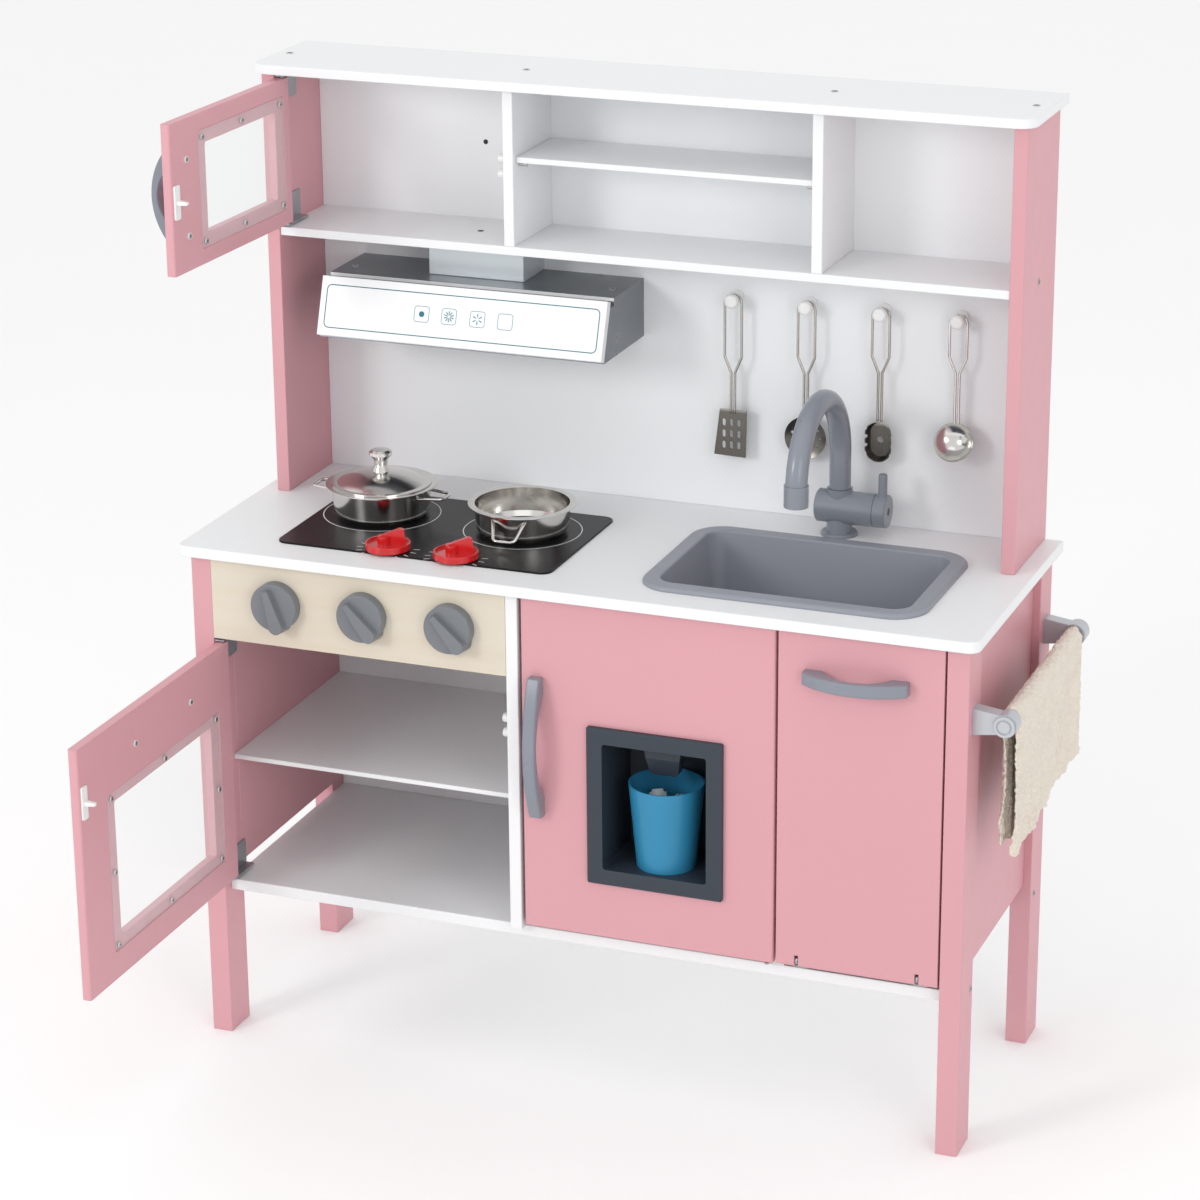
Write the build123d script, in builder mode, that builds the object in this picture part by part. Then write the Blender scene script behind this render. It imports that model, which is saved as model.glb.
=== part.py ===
"""A child-sized wooden play kitchen with a hob, sink, oven, microwave, fridge and storage door.

Sizes are in millimetres. The kitchen is drawn about its own centre line, with x = 0 at the
middle of the worktop, y = 0 at the worktop's front edge and z = 0 on the floor. Each piece is
moved by KITCHEN when it is written, so that the origin is at the bottom centre of the box
round the whole kitchen, with its two left-hand doors standing open.
"""

from build123d import *
from math import cos, radians, sin, sqrt
import os

# ---- Driving dimensions of the cabinet
HEIGHT = 1000.0
WORKTOP_WIDTH = 837.0
WORKTOP_TOP = 545.0
DEPTH = 318.0
BODY_WIDTH = 816.0

BOARD = 14.0  # side panels
LEG_WIDTH = 22.0
LEG_DEPTH = 42.0
LEG_FRONT = 13.0  # also the front plane of the closed doors
BACK_T = 5.0
EDGE = 0.8  # softened edge of every painted board

WORKTOP_T = 11.0
TOP_T = 9.5
SHELF_T = 9.0
BAY_HALF = BODY_WIDTH / 2 - LEG_WIDTH  # 386: the inner faces of legs and side panels
BACK_FRONT = 303.0
UNDER_TOP = WORKTOP_TOP - WORKTOP_T

# ---- Lower cabinet
FLOOR_Z = 160.0
FLOOR_T = 12.0
FLOOR_TOP = FLOOR_Z + FLOOR_T
FLOOR_FRONT = 26.0
SIDE_BOTTOM = 181.0
DIVIDER_T = 12.5
OVEN_DIVIDER_X = -64.0
FRIDGE_DIVIDER_X = 211.0
CONTROL_BOTTOM = 445.0
OVEN_SHELF_TOP = 305.0
OVEN_SHELF_T = 5.0
OVEN_SHELF_FRONT = 45.0

# ---- Upper cabinet
UPPER_FRONT = 198.0
TOP_FRONT = 187.0
UPPER_SHELF_Z = 821.5
UPPER_SHELF_TOP = UPPER_SHELF_Z + SHELF_T
UPPER_CEILING = HEIGHT - TOP_T
UPPER_DIVIDER_T = 11.0
UPPER_DIVIDERS_X = (-137.0, 186.5)
CENTRE_SHELF_TOP = 921.0
CENTRE_SHELF_T = 6.0

# ---- Doors
DOOR_T = 10.0
DOOR_BOTTOM = 179.0
PIVOT_INSET = 5.0  # from the hinge edge and from both faces to the pivot pin
PIN_R = 2.0
PIN_CLEARANCE = 0.05
LEAF_T = 1.5
LEAF_SETBACK = 9.0
LEAF_REACH = 22.0
LONG_LEAF_REACH = 42.0  # of the windowed doors' brackets
LEAF_DROP = 27.0

OVEN_PIVOT = (-379.5, LEG_FRONT + PIVOT_INSET)
OVEN_DOOR_WIDTH = 319.0
OVEN_DOOR_TOP = 440.0
OVEN_OPEN = 90.0
MICRO_PIVOT = (-379.5, UPPER_FRONT + 6.0)
MICRO_DOOR_WIDTH = 246.0
MICRO_DOOR_BOTTOM = 835.0
MICRO_DOOR_TOP = 985.0
MICRO_OPEN = 92.0
FRIDGE_PIVOT = (211.0, LEG_FRONT + PIVOT_INSET)
FRIDGE_DOOR_WIDTH = 264.0
TALL_DOOR_TOP = 531.0
DROP_DOOR_X = (219.0, 384.0)
DROP_PIVOT_Z = DOOR_BOTTOM + PIVOT_INSET
DROP_HINGES_X = (240.0, 363.0)

HINGE_ROUND = 2.5  # on the doors' hinge edges, so that they clear the wall as they turn
GLAZING_T = 1.6
OVEN_LAP = (17.0, 12.0)
MICRO_LAP = (16.0, 14.0)
STRIKE_SETBACK = 8.0
STRIKE_REACH = 13.0
CATCH_SETBACK = 6.0
CATCH_LENGTH = 13.0
HANDLE_WIDTH = 13.0
HANDLE_BAR = 7.5
HANDLE_REACH = 27.0

# ---- Hob, pots, sink and tap
HOB_X = (-327.0, -29.0)
HOB_Y = (42.0, 228.0)
HOB_T = 2.0
HOB_TOP = WORKTOP_TOP + HOB_T
BURNERS = ((-262.0, 161.0), (-104.0, 158.0))
BURNER_KNOBS = ((-209.0, 58.0), (-134.0, 56.0))
STOOD = 0.1  # gap under a thing that only stands on what is below it
POT_R = 51.5
POT_HEIGHT = 33.0
PAN_R = 49.5
PAN_HEIGHT = 30.0
SHEET_T = 1.0
RIM_FLARE = 6.0
GRIP_HALF = 17.0
GRIP_REACH = 21.0
SINK_X = (61.0, 351.0)
SINK_Y = (35.0, 236.0)
SINK_CORNER = 36.0
SINK_RIM = 15.0
SINK_DEPTH = 82.0
SINK_WALL = 2.5
RIM_T = 5.0
TAP = (200.0, 262.0)
TAP_BODY_Z = 574.0
TAP_BODY_R = 17.0
TUBE_R = 11.0
ARCH_R = 71.0
ARCH_Z = 632.0
NOZZLE_Z = 618.0

# ---- Front knobs, pegs, hood, rail and dispenser
KNOB_X = (-312.0, -217.0, -122.0)
KNOB_Z = 490.0
KNOB_R = 25.0
KNOB_TURNS = (16.0, 40.0, 42.0)
SHAFT_R = 4.0
DIAL_R = 23.0
PEG_X = (76.0, 154.0, 232.0, 312.0)
PEG_Z = 771.6
HOOD_X = (-340.0, -26.0)
HOOD_TOP = 782.0
HOOD_BOTTOM = 721.0
HOOD_LIP_Y = 219.0
HOOD_FACE_TOP = (201.0, 783.0)  # y, z of the leaning front board's outer edges
HOOD_FACE_BOTTOM = (181.0, 725.0)
HOOD_FACE_T = 9.0
HOOD_WALL = 6.0
CHIMNEY_X = (-240.0, -135.0)
CHIMNEY_FRONT = 245.0
RAIL_X = 440.0
RAIL_Z = 456.0
RAIL_R = 6.0
RAIL_FIT = 0.05
ARM_ROOT = 13.5  # half the height of a rail arm at the leg
ARM_TIP = 9.0
RAIL_ENDS = (34.0, 298.0)
FRAME_X = (22.0, 164.0)
FRAME_Z = (238.0, 405.0)
FRAME_BORDER = 16.5
BAY_BACK = 92.0
CUP = (93.0, 45.0)

# The cabinet's place in the finished frame
KITCHEN = Location((-20.7, -11.0, 0))


# ---- Helpers


def board(x, y, z, softened=EDGE):
    """A board between two x, two y and two z limits, with softened edges."""
    with BuildPart() as piece:
        with BuildSketch(Plane.XY.offset(z[0])):
            with Locations(((x[0] + x[1]) / 2, (y[0] + y[1]) / 2)):
                Rectangle(x[1] - x[0], y[1] - y[0])
        extrude(amount=z[1] - z[0])
        fillet(piece.edges(), softened)
    return piece


def left_door_face(pivot, bottom, open_angle):
    """Front face of a left-hung door: x runs from the pivot to the free edge, y runs up."""
    turn = radians(open_angle)
    outward = Vector(-sin(turn), -cos(turn), 0)
    foot = Vector(pivot[0], pivot[1], bottom) + outward * PIVOT_INSET
    return Plane(origin=foot, x_dir=Vector(cos(turn), -sin(turn), 0), z_dir=outward)


FRIDGE_FACE = Plane(
    origin=(FRIDGE_PIVOT[0], LEG_FRONT, DOOR_BOTTOM), x_dir=(1, 0, 0), z_dir=(0, -1, 0)
)
OVEN_FACE = left_door_face(OVEN_PIVOT, DOOR_BOTTOM, OVEN_OPEN)
MICRO_FACE = left_door_face(MICRO_PIVOT, MICRO_DOOR_BOTTOM, MICRO_OPEN)

# Each window: left and right from the pivot, bottom and top from the door's lower edge
OVEN_WINDOW = ((40.0, 245.0), (40.0, 182.0))
MICRO_WINDOW = ((24.5, 170.0), (29.0, 119.0))
OVEN_STRIKE = (OVEN_DOOR_WIDTH - PIVOT_INSET - STRIKE_SETBACK, 205.0)
MICRO_STRIKE = (MICRO_DOOR_WIDTH - PIVOT_INSET - STRIKE_SETBACK, 72.5)
OVEN_HANDLE = (141.7, 226.0)
MICRO_HANDLE = (211.0, 72.5)


def middle(span):
    return (span[0] + span[1]) / 2


def length(span):
    return span[1] - span[0]


def cap_height(across, radius, rise):
    """Height of a spherical cap above its edge, at a distance from its axis."""
    sphere = (radius**2 + rise**2) / (2 * rise)
    return rise - sphere + sqrt(sphere**2 - across**2)


# ---- Cabinet


def leg_pair(front):
    """Two identical legs standing on the floor under the worktop."""
    with BuildPart() as legs:
        with BuildSketch():
            with GridLocations(BODY_WIDTH - LEG_WIDTH, 1, 2, 1):
                with Locations((0, front + LEG_DEPTH / 2)):
                    Rectangle(LEG_WIDTH, LEG_DEPTH)
        extrude(amount=UNDER_TOP)
        fillet(legs.edges(), EDGE)
    return legs


def side_panel(side):
    inner, outer = side * BAY_HALF, side * (BAY_HALF + BOARD)
    between_legs = (LEG_FRONT + LEG_DEPTH, DEPTH - LEG_DEPTH)
    return board(sorted((inner, outer)), between_legs, (SIDE_BOTTOM, UNDER_TOP))


def upper_side(side):
    inner, outer = side * BAY_HALF, side * (BAY_HALF + BOARD)
    return board(sorted((inner, outer)), (UPPER_FRONT, DEPTH), (WORKTOP_TOP, UPPER_CEILING))


def worktop():
    """The worktop, rounded at its front corners, with the sink cut-out and two knob holes."""
    with BuildPart() as top:
        with BuildSketch(Plane.XY.offset(UNDER_TOP)):
            with Locations((0, DEPTH / 2)):
                Rectangle(WORKTOP_WIDTH, DEPTH)
        extrude(amount=WORKTOP_T)
        fillet(top.edges().filter_by(Axis.Z).group_by(Axis.Y)[0], 12)
        fillet(top.faces().sort_by(Axis.Z)[-1].edges(), 1.5)
        with BuildSketch(Plane.XY.offset(UNDER_TOP)):
            with Locations((middle(SINK_X), middle(SINK_Y))):
                cut_x = length(SINK_X) - 2 * SINK_RIM + 4
                cut_y = length(SINK_Y) - 2 * SINK_RIM + 4
                RectangleRounded(cut_x, cut_y, SINK_CORNER - SINK_RIM + 2)
        extrude(amount=WORKTOP_T, mode=Mode.SUBTRACT)
        with BuildSketch(Plane.XY.offset(UNDER_TOP)):
            with Locations(*BURNER_KNOBS):
                Circle(SHAFT_R + PIN_CLEARANCE)
        extrude(amount=WORKTOP_T, mode=Mode.SUBTRACT)
    return top


def top_board():
    """The top board, with large rounds at its two front corners."""
    with BuildPart() as top:
        with BuildSketch(Plane.XY.offset(UPPER_CEILING)):
            with Locations((0, middle((TOP_FRONT, DEPTH)))):
                Rectangle(BODY_WIDTH, DEPTH - TOP_FRONT)
        extrude(amount=TOP_T)
        fillet(top.edges().filter_by(Axis.Z).group_by(Axis.Y)[0], 18)
        fillet(top.faces().sort_by(Axis.Z)[-1].edges(), 1.2)
    return top


def control_panel():
    """The birch board that carries the three front knobs."""
    with BuildPart() as panel:
        with BuildSketch(Plane.XZ.offset(-LEG_FRONT)):
            with Locations((middle((-BAY_HALF, OVEN_DIVIDER_X)), middle((CONTROL_BOTTOM, UNDER_TOP)))):
                Rectangle(OVEN_DIVIDER_X + BAY_HALF, UNDER_TOP - CONTROL_BOTTOM)
            with Locations(*[(x, KNOB_Z) for x in KNOB_X]):
                Circle(SHAFT_R + PIN_CLEARANCE, mode=Mode.SUBTRACT)
        extrude(amount=-SHELF_T)
    return panel


def upper_dividers():
    """The two upright boards of the top cupboard."""
    with BuildPart() as dividers:
        for x in UPPER_DIVIDERS_X:
            with BuildSketch(Plane.XY.offset(UPPER_SHELF_TOP)):
                with Locations((x + UPPER_DIVIDER_T / 2, middle((UPPER_FRONT + 2, BACK_FRONT)))):
                    Rectangle(UPPER_DIVIDER_T, BACK_FRONT - UPPER_FRONT - 2)
            extrude(amount=UPPER_CEILING - UPPER_SHELF_TOP)
        fillet(dividers.edges(), EDGE)
    return dividers


def roller_catch(divider_x, front, z):
    """A plastic catch on a divider's left face: a plate with two rollers for the strike."""
    wall = Plane(origin=(divider_x, front + 7, z), x_dir=(0, 1, 0), z_dir=(-1, 0, 0))
    with BuildPart() as catch:
        with BuildSketch(wall):
            RectangleRounded(14, 27, 2)
        extrude(amount=3)
        with BuildSketch(wall):
            with Locations((0, 7.8), (0, -7.8)):
                Circle(4.8)
        extrude(amount=CATCH_LENGTH)
        fillet(catch.faces().sort_by(Axis.X)[0:2].edges(), 1.5)
    return catch.part


def roller_catches():
    """One double roller catch for the oven door and one for the microwave door."""
    oven_z = DOOR_BOTTOM + OVEN_STRIKE[1]
    oven_catch = roller_catch(OVEN_DIVIDER_X, LEG_FRONT + DOOR_T + CATCH_SETBACK, oven_z)
    micro_z = MICRO_DOOR_BOTTOM + MICRO_STRIKE[1]
    micro_front = UPPER_FRONT + DOOR_T + CATCH_SETBACK
    micro_catch = roller_catch(UPPER_DIVIDERS_X[0], micro_front, micro_z)
    with BuildPart() as catches:
        add([oven_catch, micro_catch])
    return catches


SCREW_HEAD_R = 3.6
SCREW_HEAD_T = 0.6


def cabinet_fasteners():
    """Flush screw heads on the boards and the two pins that carry the centre shelf."""
    top_screws = [(x, 251, HEIGHT) for x in (-393, -131, 192, 393)]
    hood_screws = [(x, 250, HOOD_TOP) for x in (HOOD_X[0] + 14, HOOD_X[1] - 14)]
    side = BODY_WIDTH / 2
    leg_screws = [(side, y, 167) for y in (48.6, 289.5)]
    upper_screw = (BAY_HALF + BOARD, 256, 827)
    with BuildPart() as fasteners:
        for x, y, z in top_screws + hood_screws:
            with BuildSketch(Plane.XY.offset(z)):
                with Locations((x, y)):
                    Circle(SCREW_HEAD_R)
            extrude(amount=SCREW_HEAD_T)
        for x, y, z in leg_screws + [upper_screw]:
            for direction in (-1, 1):
                with BuildSketch(Plane(origin=(direction * x, y, z), z_dir=(direction, 0, 0))):
                    Circle(SCREW_HEAD_R)
                extrude(amount=SCREW_HEAD_T)
        pin_z = CENTRE_SHELF_TOP - CENTRE_SHELF_T - 2.5
        left_face = UPPER_DIVIDERS_X[0] + UPPER_DIVIDER_T
        for face, direction in ((left_face, 1), (UPPER_DIVIDERS_X[1], -1)):
            for y in (216, 288):
                with BuildSketch(Plane(origin=(face, y, pin_z), z_dir=(direction, 0, 0))):
                    Circle(2.5)
                extrude(amount=9)
    return fasteners


# ---- Doors


def pin_bores(face, height):
    """What the pivot pins cut from a door's upper and lower edges, on the door's pivot line."""
    foot = face.from_local_coords(Vector(0, 0, -PIVOT_INSET))
    with BuildPart() as bores:
        with BuildSketch(Plane(origin=foot)):
            Circle(PIN_R + PIN_CLEARANCE)
        extrude(amount=height)
        with BuildSketch(Plane(origin=foot + Vector(0, 0, 10))):
            Circle(2 * PIN_R)
        extrude(amount=height - 20, mode=Mode.SUBTRACT)
    return bores.part


def windowed_door(face, width, height, window, lap):
    """A painted door with a window opening and a shallow seat for its glazing inside."""
    opening = (middle(window[0]), middle(window[1]))
    bores = pin_bores(face, height)
    with BuildPart() as door:
        with BuildSketch(face):
            with Locations((width / 2 - PIVOT_INSET, height / 2)):
                Rectangle(width, height)
        extrude(amount=-DOOR_T)
        fillet(door.edges().filter_by(Axis.Z), HINGE_ROUND)
        with BuildSketch(face):
            with Locations(opening):
                RectangleRounded(length(window[0]), length(window[1]), 3)
        extrude(amount=-DOOR_T, mode=Mode.SUBTRACT)
        with BuildSketch(face.offset(-DOOR_T)):
            with Locations(opening):
                RectangleRounded(length(window[0]) + 2 * lap[0], length(window[1]) + 2 * lap[1], 5)
        extrude(amount=GLAZING_T, mode=Mode.SUBTRACT)
        add(bores, mode=Mode.SUBTRACT)
    return door


def glazing(face, window, lap):
    """The clear sheet that is screwed into the seat behind the window."""
    with BuildPart() as sheet:
        with BuildSketch(face.offset(-DOOR_T)):
            with Locations((middle(window[0]), middle(window[1]))):
                sheet_x = length(window[0]) + 2 * lap[0] - 0.6
                sheet_y = length(window[1]) + 2 * lap[1] - 0.6
                RectangleRounded(sheet_x, sheet_y, 4.7)
        extrude(amount=GLAZING_T - 0.1)
    return sheet


def window_screws(window, lap, side_screws):
    """Points round the glazing: three along its top and bottom, and one in each side."""
    left, right = window[0][0] - lap[0] / 2, window[0][1] + lap[0] / 2
    low, high = window[1][0] - lap[1] / 2, window[1][1] + lap[1] / 2
    places = [(x, z) for x in (left, middle((left, right)), right) for z in (low, high)]
    if side_screws:
        places += [(x, middle((low, high))) for x in (left, right)]
    return places


def door_fittings(face, screws, handle_screws, strike):
    """A door's inside fittings: screws for glazing and handle, and the strike for the catch."""
    inside = face.offset(-DOOR_T)
    with BuildPart() as fittings:
        with BuildSketch(inside):
            with Locations(*screws):
                Circle(2.8)
            with Locations(*handle_screws):
                Circle(3.4)
        extrude(amount=-1.5)
        with BuildSketch(inside):
            with Locations(strike):
                RectangleRounded(10, 34, 2)
        extrude(amount=-2)
        with BuildSketch(inside):
            with Locations(strike):
                Rectangle(6, 5)
        extrude(amount=-STRIKE_REACH, taper=5)
    return fittings


def bow_handle(face, centre, span, foot, upright):
    """A curved bar standing off a door on two feet."""
    end, rise = span / 2, HANDLE_REACH * 0.4
    along = face.y_dir if upright else face.x_dir
    across = along.cross(face.z_dir)
    seat = face.from_local_coords(Vector(centre[0], centre[1], 0)) - across * (HANDLE_WIDTH / 2)
    under = HANDLE_REACH - HANDLE_BAR
    with BuildPart() as handle:
        with BuildSketch(Plane(origin=seat, x_dir=along, z_dir=across)):
            with BuildLine():
                Polyline((-end + foot, 0), (-end, 0), (-end, rise))
                ThreePointArc((-end, rise), (0, HANDLE_REACH), (end, rise))
                Polyline((end, rise), (end, 0), (end - foot, 0))
                ThreePointArc((end - foot, 0), (0, under), (-end + foot, 0))
            make_face()
        extrude(amount=HANDLE_WIDTH)
        chamfer(handle.edges().filter_by(GeomType.CIRCLE), 1.2)
    return handle


def fridge_door():
    """The tall door with the cut-out for its ice dispenser."""
    height = TALL_DOOR_TOP - DOOR_BOTTOM
    bores = pin_bores(FRIDGE_FACE, height)
    with BuildPart() as door:
        with BuildSketch(FRIDGE_FACE):
            with Locations((PIVOT_INSET - FRIDGE_DOOR_WIDTH / 2, height / 2)):
                Rectangle(FRIDGE_DOOR_WIDTH, height)
        extrude(amount=-DOOR_T)
        fillet(door.edges().filter_by(Axis.Z), HINGE_ROUND)
        with BuildSketch(Plane.XZ.offset(-LEG_FRONT)):
            with Locations((middle(FRAME_X), middle(FRAME_Z))):
                Rectangle(length(FRAME_X) - FRAME_BORDER, length(FRAME_Z) - FRAME_BORDER)
        extrude(amount=-DOOR_T, mode=Mode.SUBTRACT)
        add(bores, mode=Mode.SUBTRACT)
    return door


def drop_door():
    """The storage door, hinged along its lower edge, with a notch and two bores at each hinge."""
    with BuildPart() as door:
        with BuildSketch(Plane.XZ.offset(-LEG_FRONT)):
            with Locations((middle(DROP_DOOR_X), middle((DOOR_BOTTOM, TALL_DOOR_TOP)))):
                Rectangle(length(DROP_DOOR_X), TALL_DOOR_TOP - DOOR_BOTTOM)
        extrude(amount=-DOOR_T)
        fillet(door.edges().filter_by(Axis.X), HINGE_ROUND)
        with BuildSketch(Plane.XZ.offset(-LEG_FRONT)):
            with Locations(*[(x, DOOR_BOTTOM + 6) for x in DROP_HINGES_X]):
                Rectangle(4, 12)
        extrude(amount=-DOOR_T, mode=Mode.SUBTRACT)
        for x in DROP_HINGES_X:
            with BuildSketch(Plane(origin=(x, LEG_FRONT + PIVOT_INSET, DROP_PIVOT_Z), z_dir=(1, 0, 0))):
                Circle(PIN_R + PIN_CLEARANCE)
            extrude(amount=8, both=True, mode=Mode.SUBTRACT)
    return door


def upright_hinge(pivot, wall_x, leaf_z, upward, reach=LEAF_REACH):
    """An angle bracket on a wall, whose pin enters the end of a door."""
    toward = 1 if pivot[0] > wall_x else -1
    leaf_x = (wall_x, pivot[0] + toward * 4)
    back = (pivot[1] + LEAF_SETBACK, pivot[1] + reach)
    with BuildPart() as hinge:
        with BuildSketch(Plane.XY.offset(leaf_z)):
            with Locations((middle(leaf_x), middle((pivot[1] - 4, back[1])))):
                RectangleRounded(abs(length(leaf_x)), back[1] - pivot[1] + 4, 1.2)
        extrude(amount=upward * LEAF_T)
        with BuildSketch(Plane.XY.offset(leaf_z)):
            with Locations((wall_x + toward * LEAF_T / 2, middle(back))):
                Rectangle(LEAF_T, length(back))
        extrude(amount=-upward * LEAF_DROP)
        with BuildSketch(Plane.XY.offset(leaf_z)):
            with Locations(pivot):
                Circle(PIN_R)
        extrude(amount=-upward * 9)
    return hinge.part


def level_hinge(x):
    """A bracket on the cabinet floor, whose ear stands in the drop door's notch."""
    pivot_y = LEG_FRONT + PIVOT_INSET
    with BuildPart() as hinge:
        with BuildSketch(Plane.XY.offset(FLOOR_TOP)):
            with Locations((x, FLOOR_FRONT + 11)):
                RectangleRounded(16, 20, 2)
        extrude(amount=LEAF_T)
        with BuildSketch(Plane(origin=(x - 1, 0, 0), x_dir=(0, 1, 0), z_dir=(1, 0, 0))):
            with BuildLine():
                Polyline((pivot_y, DROP_PIVOT_Z + 3.5), (FLOOR_FRONT + 14, FLOOR_TOP + LEAF_T))
                Polyline((FLOOR_FRONT + 14, FLOOR_TOP + LEAF_T), (FLOOR_FRONT + 14, FLOOR_TOP))
                Polyline((FLOOR_FRONT + 14, FLOOR_TOP), (FLOOR_FRONT + 2, FLOOR_TOP))
                Line((FLOOR_FRONT + 2, FLOOR_TOP), (pivot_y, DROP_PIVOT_Z - 3.5))
                Line((pivot_y, DROP_PIVOT_Z - 3.5), (pivot_y, DROP_PIVOT_Z + 3.5))
            make_face()
            with Locations((pivot_y, DROP_PIVOT_Z)):
                Circle(4.2)
        extrude(amount=2)
        with BuildSketch(Plane(origin=(x, pivot_y, DROP_PIVOT_Z), z_dir=(1, 0, 0))):
            Circle(PIN_R)
        extrude(amount=7, both=True)
    return hinge.part


def pivot_hinges():
    """Two pivot brackets for each upright door and two ear brackets for the drop door."""
    brackets = [
        upright_hinge(OVEN_PIVOT, -BAY_HALF, OVEN_DOOR_TOP + 1.5, 1, LONG_LEAF_REACH),
        upright_hinge(OVEN_PIVOT, -BAY_HALF, DOOR_BOTTOM - 1.5, -1, LONG_LEAF_REACH),
        upright_hinge(MICRO_PIVOT, -BAY_HALF, MICRO_DOOR_TOP + 1.5, 1, LONG_LEAF_REACH),
        upright_hinge(MICRO_PIVOT, -BAY_HALF, MICRO_DOOR_BOTTOM - 1.5, -1, LONG_LEAF_REACH),
        upright_hinge(FRIDGE_PIVOT, FRIDGE_DIVIDER_X, TALL_DOOR_TOP + 1.2, 1),
        upright_hinge(FRIDGE_PIVOT, FRIDGE_DIVIDER_X, DOOR_BOTTOM - 1.5, -1),
    ]
    brackets += [level_hinge(x) for x in DROP_HINGES_X]
    with BuildPart() as hinges:
        add(brackets)
    return hinges


# ---- Ice dispenser


BAY_CEILING = FRAME_Z[1] - FRAME_BORDER
BAY_FLOOR = FRAME_Z[0] + FRAME_BORDER
PADDLE_Y = 42.0
PADDLE_AXIS_Z = BAY_CEILING - 6.0


def dispenser_housing():
    """The recessed bay in the fridge door: a border in front and an open box behind it."""
    front = Plane.XZ.offset(-LEG_FRONT + 5)
    centre = (middle(FRAME_X), middle(FRAME_Z))
    outer_x, outer_z = length(FRAME_X), length(FRAME_Z)
    inner_x, inner_z = outer_x - 2 * FRAME_BORDER, outer_z - 2 * FRAME_BORDER
    with BuildPart() as housing:
        with BuildSketch(front):
            with Locations(centre):
                RectangleRounded(outer_x, outer_z, 2)
        extrude(amount=-5)
        chamfer(housing.faces().sort_by(Axis.Y)[0].edges(), 1)
        with BuildSketch(front):
            with Locations(centre):
                Rectangle(inner_x + 6, inner_z + 6)
        extrude(amount=-(BAY_BACK - LEG_FRONT + 5))
        with BuildSketch(front):
            with Locations(centre):
                RectangleRounded(inner_x, inner_z, 3)
        extrude(amount=-(BAY_BACK - LEG_FRONT + 2), mode=Mode.SUBTRACT)
        with BuildSketch(Plane(origin=(FRAME_X[0], PADDLE_Y, PADDLE_AXIS_Z), z_dir=(1, 0, 0))):
            Circle(PIN_R + PIN_CLEARANCE)
        extrude(amount=outer_x, mode=Mode.SUBTRACT)
    return housing


def dispenser_paddle():
    """The tapered lever that a cup pushes back, on a pin across the bay's ceiling."""
    x, top, bottom = middle(FRAME_X), PADDLE_AXIS_Z + 3, BAY_CEILING - 37
    with BuildPart() as paddle:
        with BuildSketch(Plane.XZ.offset(-PADDLE_Y + 9)):
            with BuildLine():
                Polyline((x - 20.5, top), (x - 15, bottom + 3), (x - 12, bottom), (x + 12, bottom))
                Polyline((x + 12, bottom), (x + 15, bottom + 3), (x + 20.5, top), (x - 20.5, top))
            make_face()
        extrude(amount=-18)
        sloped = Plane(origin=(x, 0, 0), x_dir=(0, 1, 0), z_dir=(1, 0, 0))
        with BuildSketch(sloped):
            with BuildLine():
                front = PADDLE_Y - 10
                Polyline((front, bottom - 1), (front, top - 12), (PADDLE_Y - 3, bottom - 1))
                Line((PADDLE_Y - 3, bottom - 1), (PADDLE_Y - 10, bottom - 1))
            make_face()
            with BuildLine():
                rear = PADDLE_Y + 10
                Polyline((rear, bottom - 1), (rear, top - 12), (PADDLE_Y + 4, bottom - 1))
                Line((PADDLE_Y + 4, bottom - 1), (PADDLE_Y + 10, bottom - 1))
            make_face()
        extrude(amount=30, both=True, mode=Mode.SUBTRACT)
        with BuildSketch(Plane(origin=(x, PADDLE_Y, PADDLE_AXIS_Z), z_dir=(1, 0, 0))):
            Circle(PIN_R)
        extrude(amount=length(FRAME_X) / 2 - FRAME_BORDER + 2.5, both=True)
    return paddle


def cup():
    """A tapered tumbler that stands in the bay."""
    height, base_r, rim_r, wall = 88.0, 30.0, 38.0, 1.6
    seat = (CUP[0], CUP[1], BAY_FLOOR + STOOD)
    with BuildPart() as tumbler:
        with BuildSketch(Plane(origin=seat, x_dir=(1, 0, 0), z_dir=(0, -1, 0))):
            with BuildLine():
                Polyline((0, 0), (base_r, 0), (rim_r, height), (rim_r - wall, height))
                Polyline((rim_r - wall, height), (base_r - wall, 2), (0, 2), (0, 0))
            make_face()
        revolve(axis=Axis(seat, (0, 0, 1)))
    return tumbler


# ---- Knobs


def pointer_knob(x, turn):
    """A round knob with a tapering pointer ridge and a shaft that runs in the control panel."""
    across = Vector(cos(radians(turn)), 0, sin(radians(turn)))
    face = Plane(origin=(x, LEG_FRONT - 0.4, KNOB_Z), x_dir=across, z_dir=(0, -1, 0))
    with BuildPart() as knob:
        with BuildSketch(face):
            Circle(KNOB_R)
        extrude(amount=12)
        chamfer(knob.faces().sort_by(Axis.Y)[0].edges(), 1.2)
        with BuildSketch(face):
            with BuildLine():
                Line((-4.5, KNOB_R - 4), (-9, -KNOB_R + 6))
                ThreePointArc((-9, -KNOB_R + 6), (0, -KNOB_R - 3), (9, -KNOB_R + 6))
                Polyline((9, -KNOB_R + 6), (4.5, KNOB_R - 4), (-4.5, KNOB_R - 4))
            make_face()
        extrude(amount=19, taper=5)
        with BuildSketch(face):
            Circle(SHAFT_R)
        extrude(amount=-(SHELF_T + 2))
    return knob


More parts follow.
